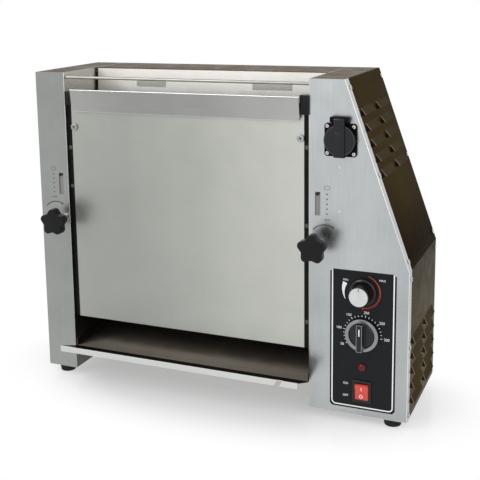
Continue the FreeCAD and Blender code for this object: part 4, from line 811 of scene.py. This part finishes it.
class TOASTER_OT_dial_faces(bpy.types.Operator):
    """Adds the bright faces and white marks of the two dials."""
    bl_idname = "toaster.dial_faces"
    bl_label = "Dial faces"

    # The thermostat's ring lies this far in front of the label.
    RING_LIFT = 5.4 * MM
    # The grip's half width and how far its bar reaches back from the knob's front.
    GRIP_HALF_WIDTH = 5 * MM
    GRIP_DEPTH = 13 * MM

    def execute(self, context):
        self.speed_face()
        self.thermostat_face()
        self.plate_grip()
        self.thermostat_ring()
        return {"FINISHED"}

    @staticmethod
    def speed_face():
        bm = bmesh.new()
        disc(bm, radius=14.4 * MM, segments=48)
        print_on(bm, "speed_knob_face", "satin aluminium face", "speed_knob")
        bm = bmesh.new()
        # The pressed mark on the knob's face, drawn as its painted shade.
        bar(bm, wide=1.0 * MM, high=5.0 * MM, y=11 * MM)
        print_on(bm, "speed_knob_mark", "recess shade grey", "speed_knob", gap=PRINT_HEIGHT)

    @staticmethod
    def thermostat_face():
        """A white mark at the grip's top and a bright line round its front."""
        bm = bmesh.new()
        bar(bm, wide=1.7 * MM, high=11 * MM, y=9.5 * MM)
        print_on(bm, "thermostat_mark", "white print", "thermostat_knob")
        bm = bmesh.new()
        line = 0.8 * MM
        for way in (-1, 1):
            bar(bm, wide=line, high=42.6 * MM, x=way * 4.0 * MM)
            bar(bm, wide=7.2 * MM, high=line, y=way * 21.0 * MM)
        print_on(bm, "thermostat_grip_trim", "satin chrome ring", "thermostat_knob")

    def plate_grip(self):
        """The grip is a satin metal bar; its forward faces stay black, as an inlay."""
        spot = middle("thermostat_knob")
        limit = front_of("thermostat_knob") + self.GRIP_DEPTH
        mesh = bpy.data.objects["thermostat_knob_rounded"].data
        add_finishes(mesh, "satin chrome ring")
        for face in mesh.polygons:
            near = abs(face.center.x - spot.x) < self.GRIP_HALF_WIDTH and face.center.y < limit
            if near and not looks_forward(face, 0.95):
                face.material_index = 1

    def thermostat_ring(self):
        spot = middle("thermostat_knob")
        bm = bmesh.new()
        flat_ring(bm, outer=26.0 * MM, inner=20.3 * MM, segments=64)
        thicken(bm, 1.6 * MM)
        round_edges(bm, 0.5 * MM, 2)
        face_front(bm, (spot.x, front_of("control_label") - self.RING_LIFT, spot.z))
        place_piece(bm, "thermostat_ring", "satin chrome ring", "thermostat_knob")


class TOASTER_OT_label_print(bpy.types.Operator):
    """Prints the border, the dial scales, their numbers and the switch words on the label."""
    bl_idname = "toaster.label_print"
    bl_label = "Label print"

    # The border's distance from the label's edge, its line and the radius of its corners.
    INSET = 3.6 * MM
    LINE = 1.9 * MM
    CORNER = 6 * MM
    # The thermostat's scale: the first mark's angle and the arc to the last, in degrees.
    SCALE_START = 213
    SCALE_ARC = 220
    TICKS = 21
    # The ticks start on this circle, and the numbers stand on an oval; both in mm.
    TICK_CIRCLE = 28.0
    NUMBERS = 6
    NUMBER_OVAL = (38, 35.5)

    def execute(self, context):
        low, high = (Vector(corner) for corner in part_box("control_label"))
        self.origin = Vector(((low.x + high.x) / 2, low.y - PRINT_GAP, (low.z + high.z) / 2))
        self.border(high.x - low.x, high.z - low.z)
        self.speed_scale(self.height_of("speed_knob"))
        self.thermostat_ticks(self.height_of("thermostat_knob"))
        self.thermostat_numbers(self.height_of("thermostat_knob"))
        self.put_words("switch_words", self.height_of("rocker_housing"), 5.0 * MM,
                       [("ON", -26 * MM, 10 * MM), ("OFF", -26 * MM, -10 * MM)])
        return {"FINISHED"}

    def height_of(self, node):
        """How far a node's middle lies above the label's."""
        return middle(node).z - self.origin.z

    def put(self, bm, name, finish_name, z=0.0):
        print_piece(bm, name, finish_name, "control_label", self.origin + Vector((0, 0, z)))

    def put_words(self, name, z, size, items):
        """Prints words in white, each with its place from the label's middle line and the height z."""
        bm = bmesh.new()
        for text, x, y in items:
            bm.from_mesh(words(text, size, x, y))
        self.put(bm, name, "white print", z)

    def border(self, wide, high):
        """Two upright lines and one below with round corners; the top edge stays open."""
        bm = bmesh.new()
        inset, corner = self.INSET, self.CORNER
        bar(bm, wide=wide - 2 * inset - 2 * corner, high=self.LINE, y=inset - high / 2)
        for way in (-1, 1):
            bar(bm, wide=self.LINE, high=high - inset - corner - 0.4 * MM, x=way * (wide / 2 - inset),
                y=(inset + corner) / 2)
            centre = Vector((way * (wide / 2 - inset - corner), inset + corner - high / 2, 0))
            self.round_corner(bm, way, centre)
        self.put(bm, "label_border", "white print")

    def round_corner(self, bm, way, centre):
        """A quarter of a ring, from below its centre to the outer side."""
        made = bmesh.ops.create_grid(bm, x_segments=8, y_segments=1, size=0.5)
        for vert in made["verts"]:
            angle = math.radians(-90 + way * 90 * (vert.co.x + 0.5))
            vert.co = centre + spoke(angle) * (self.CORNER + vert.co.y * self.LINE)

    def wedge(self, name, finish_name, z, angles, radii, widths):
        """A bent strip between two angles whose inner radius and width, in mm, change evenly."""
        bm = bmesh.new()
        bmesh.ops.create_grid(bm, x_segments=36, y_segments=1, size=0.5)
        for vert in bm.verts:
            along = vert.co.x + 0.5
            angle = math.radians(angles[0] + (angles[1] - angles[0]) * along)
            width = widths[0] + (widths[1] - widths[0]) * along
            radius = (radii[0] + (radii[1] - radii[0]) * along + (vert.co.y + 0.5) * width) * MM
            vert.co = spoke(angle) * radius
        bmesh.ops.recalc_face_normals(bm, faces=bm.faces)
        self.put(bm, name, finish_name, z)

    def speed_scale(self, z):
        """A white wedge for slow, and for fast a red one with a pale edge inside it."""
        self.wedge("speed_wedge", "white print", z,
                   angles=(155, 206), radii=(27.0, 30.2), widths=(7.2, 0.5))
        self.wedge("speed_wedge_hot", "red print", z,
                   angles=(72, -92), radii=(26.6, 25.0), widths=(0.8, 3.0))
        self.wedge("speed_wedge_pale", "white print", z - 0.1 * MM,
                   angles=(5, -90), radii=(26.8, 25.9), widths=(0.3, 1.8))
        self.put_words("speed_words", z, 4.6 * MM,
                       [("MIN", -27 * MM, 17 * MM), ("MAX", 30 * MM, 21 * MM)])

    def thermostat_ticks(self, z):
        """Every fourth tick is longer; all start on one circle."""
        bm = bmesh.new()
        for tick in range(self.TICKS):
            angle = math.radians(self.SCALE_START - self.SCALE_ARC * tick / (self.TICKS - 1))
            length = 3.2 if tick % 4 == 0 else 2.2
            radius = (self.TICK_CIRCLE + length / 2) * MM
            bar(bm, wide=length * MM, high=0.9 * MM, x=math.cos(angle) * radius,
                y=math.sin(angle) * radius, turn=angle)
        self.put(bm, "thermostat_ticks", "white print", z)

    def thermostat_numbers(self, z):
        """From 50 in steps of 50, on an oval outside the ticks."""
        step = self.SCALE_ARC / (self.NUMBERS - 1)
        wide, high = self.NUMBER_OVAL
        items = []
        for number in range(self.NUMBERS):
            angle = math.radians(self.SCALE_START - step * number)
            items.append((str(50 + 50 * number), math.cos(angle) * wide * MM, math.sin(angle) * high * MM))
        self.put_words("thermostat_numbers", z, 5.8 * MM, items)


class TOASTER_OT_gap_marks(bpy.types.Operator):
    """Adds the dots, the thick and thin signs and the turning arrows beside the gap scales."""
    bl_idname = "toaster.gap_marks"
    bl_label = "Gap scale marks"

    # The scale's slot from the panel's inner edge, and the marks from the slot.
    SLOT_INSET = 14.2 * MM
    MARKS_OFFSET = 15 * MM
    DOTS = 5
    DOT_PITCH = 7.72
    # Heights above the panel's foot; the arrow's is that of its circle's middle.
    TOP_DOT = 349.6
    POINTER_HEIGHT = 349.5 * MM
    ARROW_HEIGHT = 276 * MM
    ARROW_SHIFT = 3 * MM
    # Each sign is an outline: its height above the foot and half its own height, in mm.
    SIGNS = {"thick": (359.5, 3.2), "thin": (309.5, 1.3)}
    SIGN_HALF_WIDTH = 5.0
    SIGN_LINE = 0.5
    ARROW_RADIUS = 25.5
    ARROW_LINE = 1.3

    def execute(self, context):
        for side, way in (("left", -1), ("right", 1)):
            node = side + "_front_panel"
            low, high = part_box(node)
            slot_x = (high[0] if way < 0 else low[0]) + way * self.SLOT_INSET
            origin = Vector((slot_x + way * self.MARKS_OFFSET, low[1] - PRINT_GAP, low[2]))
            self.dots(side, way, node, origin)
            self.signs(side, node, origin)
            self.pointer_dot(side + "_pointer", slot_x, low[2] + self.POINTER_HEIGHT)
        return {"FINISHED"}

    def dots(self, side, way, node, origin):
        bm = bmesh.new()
        for number in range(self.DOTS):
            disc(bm, radius=1.1 * MM, segments=14, y=(self.TOP_DOT - self.DOT_PITCH * number) * MM)
        self.arrow(bm, way)
        print_piece(bm, side + "_gap_dots", "black print", node, origin)

    def signs(self, side, node, origin):
        for name, (height, half) in self.SIGNS.items():
            bm = bmesh.new()
            flat_ring(bm, outer=half * MM, inner=(half - self.SIGN_LINE) * MM, segments=32,
                      stretch=self.SIGN_HALF_WIDTH / half)
            print_piece(bm, "%s_%s_sign" % (side, name), "black print", node,
                        origin + Vector((0, 0, height * MM)))

    @staticmethod
    def pointer_dot(node, x, z):
        """The black button on the scale strip's top end."""
        bm = bmesh.new()
        disc(bm, radius=2.7 * MM, segments=28)
        print_piece(bm, node + "_dot", "black print", node, (x, front_of(node) - PRINT_GAP, z))

    def arrow(self, bm, way):
        """A curved arrow above the knob: a strip bent from 140 to 65 degrees, and a head at 61."""
        made = bmesh.ops.create_grid(bm, x_segments=12, y_segments=1, size=0.5)
        centre = Vector((-way * self.ARROW_SHIFT, self.ARROW_HEIGHT, 0))
        for vert in made["verts"]:
            angle = math.radians(140 - 75 * (vert.co.x + 0.5))
            reach = (self.ARROW_RADIUS + vert.co.y * self.ARROW_LINE) * MM
            vert.co = centre + spoke(angle) * reach
        angle = math.radians(61)
        tip = centre + spoke(angle) * self.ARROW_RADIUS * MM
        turn = Matrix.Rotation(angle - math.pi, 4, "Z")
        bmesh.ops.create_circle(bm, cap_ends=True, radius=2.4 * MM, segments=3,
                                matrix=Matrix.Translation(tip) @ turn)


class TOASTER_OT_switch_marks(bpy.types.Operator):
    """Adds the moulded line and ring signs on the rocker."""
    bl_idname = "toaster.switch_marks"
    bl_label = "Rocker marks"

    # The button rests tilted, and each half of its face dips towards the middle.
    TILT = math.radians(7)
    DIP = math.atan(1.6 / 12.3)
    HEIGHT = 0.5 * MM
    OFFSET = 5.6 * MM
    # How far each sign's face lies behind the button's foremost point.
    LINE_DEPTH = 1.75 * MM
    RING_DEPTH = 0.8 * MM

    def execute(self, context):
        bm = bmesh.new()
        bar(bm, wide=1.1 * MM, high=5.5 * MM)
        self.put(bm, "rocker_line", 1, self.LINE_DEPTH)
        bm = bmesh.new()
        flat_ring(bm, outer=2.8 * MM, inner=1.9 * MM, segments=28)
        self.put(bm, "rocker_ring", -1, self.RING_DEPTH)
        return {"FINISHED"}

    def put(self, bm, name, way, depth):
        """Lays a sign on the upper half (1) or the lower half (-1) of the button."""
        centre = middle("rocker_button")
        thicken(bm, self.HEIGHT)
        spot = (centre.x, front_of("rocker_button") + depth, centre.z + way * self.OFFSET)
        bm.transform(Matrix.Translation(spot) @ Matrix.Rotation(self.TILT + way * self.DIP, 4, "X")
                     @ FRONTWARD)
        place_piece(bm, name, "white print", "rocker_button")


class TOASTER_OT_lid_relief(bpy.types.Operator):
    """Adds the raised rim of the socket's lid and the panel on its strap."""
    bl_idname = "toaster.lid_relief"
    bl_label = "Lid relief"

    # The round lid's middle above the lid's foot, and the flange's face behind the socket's ears.
    MIDDLE = 25.5 * MM
    FLANGE_DEPTH = 10.3 * MM
    # How far in front of the flange's face the rim and the strap's panel start.
    RIM_LIFT = 7.0 * MM
    STRAP_LIFT = 9.0 * MM
    HEIGHT = 0.4 * MM

    def execute(self, context):
        bm = bmesh.new()
        flat_ring(bm, outer=23.2 * MM, inner=22.5 * MM, segments=64)
        thicken(bm, self.HEIGHT)
        # The rim's grey is a painted highlight.
        self.put(bm, "socket_lid_rim", "lid rim highlight black", self.RIM_LIFT)
        bm = bmesh.new()
        bar(bm, wide=12 * MM, high=30 * MM, y=-2 * MM)
        thicken(bm, self.HEIGHT)
        round_edges(bm, 0.15 * MM, 2)
        self.put(bm, "socket_strap_panel", "black socket moulding", self.STRAP_LIFT)
        self.shade_sides()
        return {"FINISHED"}

    def put(self, bm, name, finish_name, lift):
        flange = front_of("socket_body") + self.FLANGE_DEPTH
        lid_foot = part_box("socket_lid")[0][2]
        face_front(bm, (middle("socket_lid").x, flange - lift, lid_foot + self.MIDDLE))
        place_piece(bm, name, finish_name, "socket_lid")

    @staticmethod
    def shade_sides():
        """The lid's side faces turn away from the light."""
        mesh = bpy.data.objects["socket_lid_rounded"].data
        add_finishes(mesh, "shaded black moulding")
        for face in mesh.polygons:
            face.material_index = 0 if looks_forward(face, 0.8) else 1


class TOASTER_OT_stage(bpy.types.Operator):
    """Sets the floor, the even studio light and the camera."""
    bl_idname = "toaster.stage"
    bl_label = "Stage"

    FLOOR_REACH = 6.0
    FLOOR_DROP = 0.5 * MM
    # The floor turns plain white between these distances, over an oval twice as wide as it is deep.
    FADE = (0.13, 0.24)
    OVAL = (0.5, 1.0, 1.0)
    # Name: share of the key lamp's power, size, place and aim.
    LAMPS = {
        "key": (1.0, 1.1, (-0.9, -1.5, 1.5), (0.0, -0.05, 0.28)),
        "fill": (0.35, 1.2, (1.6, -1.1, 0.9), (0.1, 0.0, 0.25)),
    }
    # The aim point from the left panel's lower front corner, and its pixel in the square frame.
    AIM = (0.29327, 0.105, 0.37842)
    AIM_PIXEL = (219.0, 155.7)
    FRAME_PIXELS = 480.0
    SENSOR = 36.0

    def execute(self, context):
        self.floor()
        self.world()
        for name, (share, size, place, aim) in self.LAMPS.items():
            self.lamp(name, studio().lamp_power * share, size, place, aim)
        self.camera()
        context.scene.view_settings.view_transform = "Standard"
        return {"FINISHED"}

    def floor(self):
        bm = bmesh.new()
        bmesh.ops.create_grid(bm, x_segments=1, y_segments=1, size=self.FLOOR_REACH,
                              matrix=Matrix.Translation((0, 0, -self.FLOOR_DROP)))
        mesh = bpy.data.meshes.new("studio_floor")
        bm.to_mesh(mesh)
        bm.free()
        self.floor_finish("white studio board")
        mesh.materials.append(FINISHES["white studio board"])
        item = bpy.data.objects.new("studio_floor", mesh)
        bpy.context.scene.collection.objects.link(item)

    def floor_finish(self, name):
        """White studio board: it keeps the shadow, and runs out into the white background."""
        tree, shader, place = new_material(name)
        cloud = add_node(tree, "ShaderNodeTexNoise", {"Scale": 2.0}, {"Vector": place})
        tone = add_node(tree, "ShaderNodeValToRGB", {}, {"Fac": cloud.outputs["Fac"]},
                        [(0.3, linear("#f6f6f6")), (0.7, linear("#fbfbfb"))])
        tree.links.new(tone.outputs["Color"], shader.inputs["Base Color"])
        shader.inputs["Roughness"].default_value = 0.16
        share = add_node(tree, "ShaderNodeMath", {"operation": "MULTIPLY"},
                         {0: self.white_share(tree, place), 1: self.seen_ray(tree)})
        white = add_node(tree, "ShaderNodeEmission", {"Color": (1, 1, 1, 1), "Strength": 1.0})
        mix = add_node(tree, "ShaderNodeMixShader", {}, {0: share.outputs["Value"], 1: shader.outputs["BSDF"],
                                                         2: white.outputs["Emission"]})
        tree.links.new(mix.outputs["Shader"], tree.nodes["Material Output"].inputs["Surface"])

    def white_share(self, tree, place):
        """The share of plain white, which grows with the distance from the toaster."""
        oval = add_node(tree, "ShaderNodeMapping", {"Scale": self.OVAL}, {"Vector": place})
        distance = add_node(tree, "ShaderNodeVectorMath", {"operation": "LENGTH"},
                            {"Vector": oval.outputs["Vector"]})
        far = add_node(tree, "ShaderNodeMapRange",
                       {"interpolation_type": "SMOOTHSTEP", "From Min": self.FADE[0],
                        "From Max": self.FADE[1], "To Min": studio().floor_white, "To Max": 1.0},
                       {"Value": distance.outputs["Value"]})
        return far.outputs["Result"]

    @staticmethod
    def seen_ray(tree):
        """One for rays that show the background: from the camera, or off metal or through a lens."""
        path = add_node(tree, "ShaderNodeLightPath")
        seen = add_node(tree, "ShaderNodeMath", {"operation": "MAXIMUM"},
                        {0: path.outputs["Is Camera Ray"], 1: path.outputs["Is Glossy Ray"]})
        shown = add_node(tree, "ShaderNodeMath", {"operation": "MAXIMUM"},
                         {0: seen.outputs["Value"], 1: path.outputs["Is Transmission Ray"]})
        return shown.outputs["Value"]

    def world(self):
        world = bpy.data.worlds.new("studio")
        bpy.context.scene.world = world
        world.use_nodes = True
        tree = world.node_tree
        tree.nodes.clear()
        level = add_node(tree, "ShaderNodeMapRange", {"To Min": studio().sky, "To Max": 1.0},
                         {"Value": self.seen_ray(tree)})
        light = add_node(tree, "ShaderNodeBackground", {"Color": (1, 1, 1, 1)},
                         {"Strength": level.outputs["Result"]})
        add_node(tree, "ShaderNodeOutputWorld", {}, {"Surface": light.outputs["Background"]})

    @staticmethod
    def lamp(name, power, size, place, aim):
        data = bpy.data.lights.new(name, "AREA")
        data.energy = power
        data.size = size
        item = bpy.data.objects.new(name, data)
        item.location = place
        item.rotation_euler = (Vector(aim) - Vector(place)).to_track_quat("-Z", "Y").to_euler()
        bpy.context.scene.collection.objects.link(item)

    def camera(self):
        kit = studio()
        azimuth, elevation, roll = (math.radians(a) for a in (kit.azimuth, kit.elevation, kit.roll))
        back = Vector((math.sin(azimuth) * math.cos(elevation), -math.cos(azimuth) * math.cos(elevation),
                       math.sin(elevation)))
        level_right = (-back).cross(Vector((0, 0, 1))).normalized()
        level_up = level_right.cross(-back)
        right = level_right * math.cos(roll) + level_up * math.sin(roll)
        up = level_up * math.cos(roll) - level_right * math.sin(roll)
        aim = Vector(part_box("left_front_panel")[0]) + Vector(self.AIM)
        half = self.FRAME_PIXELS / 2
        data = bpy.data.cameras.new("photo_camera")
        data.sensor_width = self.SENSOR
        data.lens = kit.focal / self.FRAME_PIXELS * self.SENSOR
        data.shift_x = (half - self.AIM_PIXEL[0]) / self.FRAME_PIXELS
        data.shift_y = (self.AIM_PIXEL[1] - half) / self.FRAME_PIXELS
        item = bpy.data.objects.new("photo_camera", data)
        turn = Matrix((right, up, back)).transposed().to_4x4()
        item.matrix_world = Matrix.Translation(aim + back * kit.distance) @ turn
        bpy.context.scene.collection.objects.link(item)
        bpy.context.scene.camera = item


PIECES = (TOASTER_OT_finishes, TOASTER_OT_rounded, TOASTER_OT_folded, TOASTER_OT_louvres,
          TOASTER_OT_screw_slots, TOASTER_OT_dial_faces, TOASTER_OT_label_print, TOASTER_OT_gap_marks,
          TOASTER_OT_switch_marks, TOASTER_OT_lid_relief, TOASTER_OT_stage)


class TOASTER_PT_panel(bpy.types.Panel):
    """Lists the toaster's dressing steps."""
    bl_idname = "TOASTER_PT_panel"
    bl_label = "Toaster"
    bl_space_type = "VIEW_3D"
    bl_region_type = "UI"
    bl_category = "Toaster"

    def draw(self, context):
        for kind in PIECES:
            self.layout.operator(kind.bl_idname)


CLASSES = (FinishSettings, StudioSettings) + PIECES + (TOASTER_PT_panel,)


def register():
    for kind in CLASSES:
        bpy.utils.register_class(kind)
    bpy.types.Scene.toaster_finish = bpy.props.PointerProperty(type=FinishSettings)
    bpy.types.Scene.toaster_studio = bpy.props.PointerProperty(type=StudioSettings)


def unregister():
    del bpy.types.Scene.toaster_studio
    del bpy.types.Scene.toaster_finish
    for kind in reversed(CLASSES):
        bpy.utils.unregister_class(kind)


def main():
    register()
    for kind in PIECES:
        family, action = kind.bl_idname.split(".")
        result = getattr(getattr(bpy.ops, family), action)()
        if result != {"FINISHED"}:
            raise RuntimeError(kind.bl_label + " did not finish")


if __name__ == "__main__":
    main()
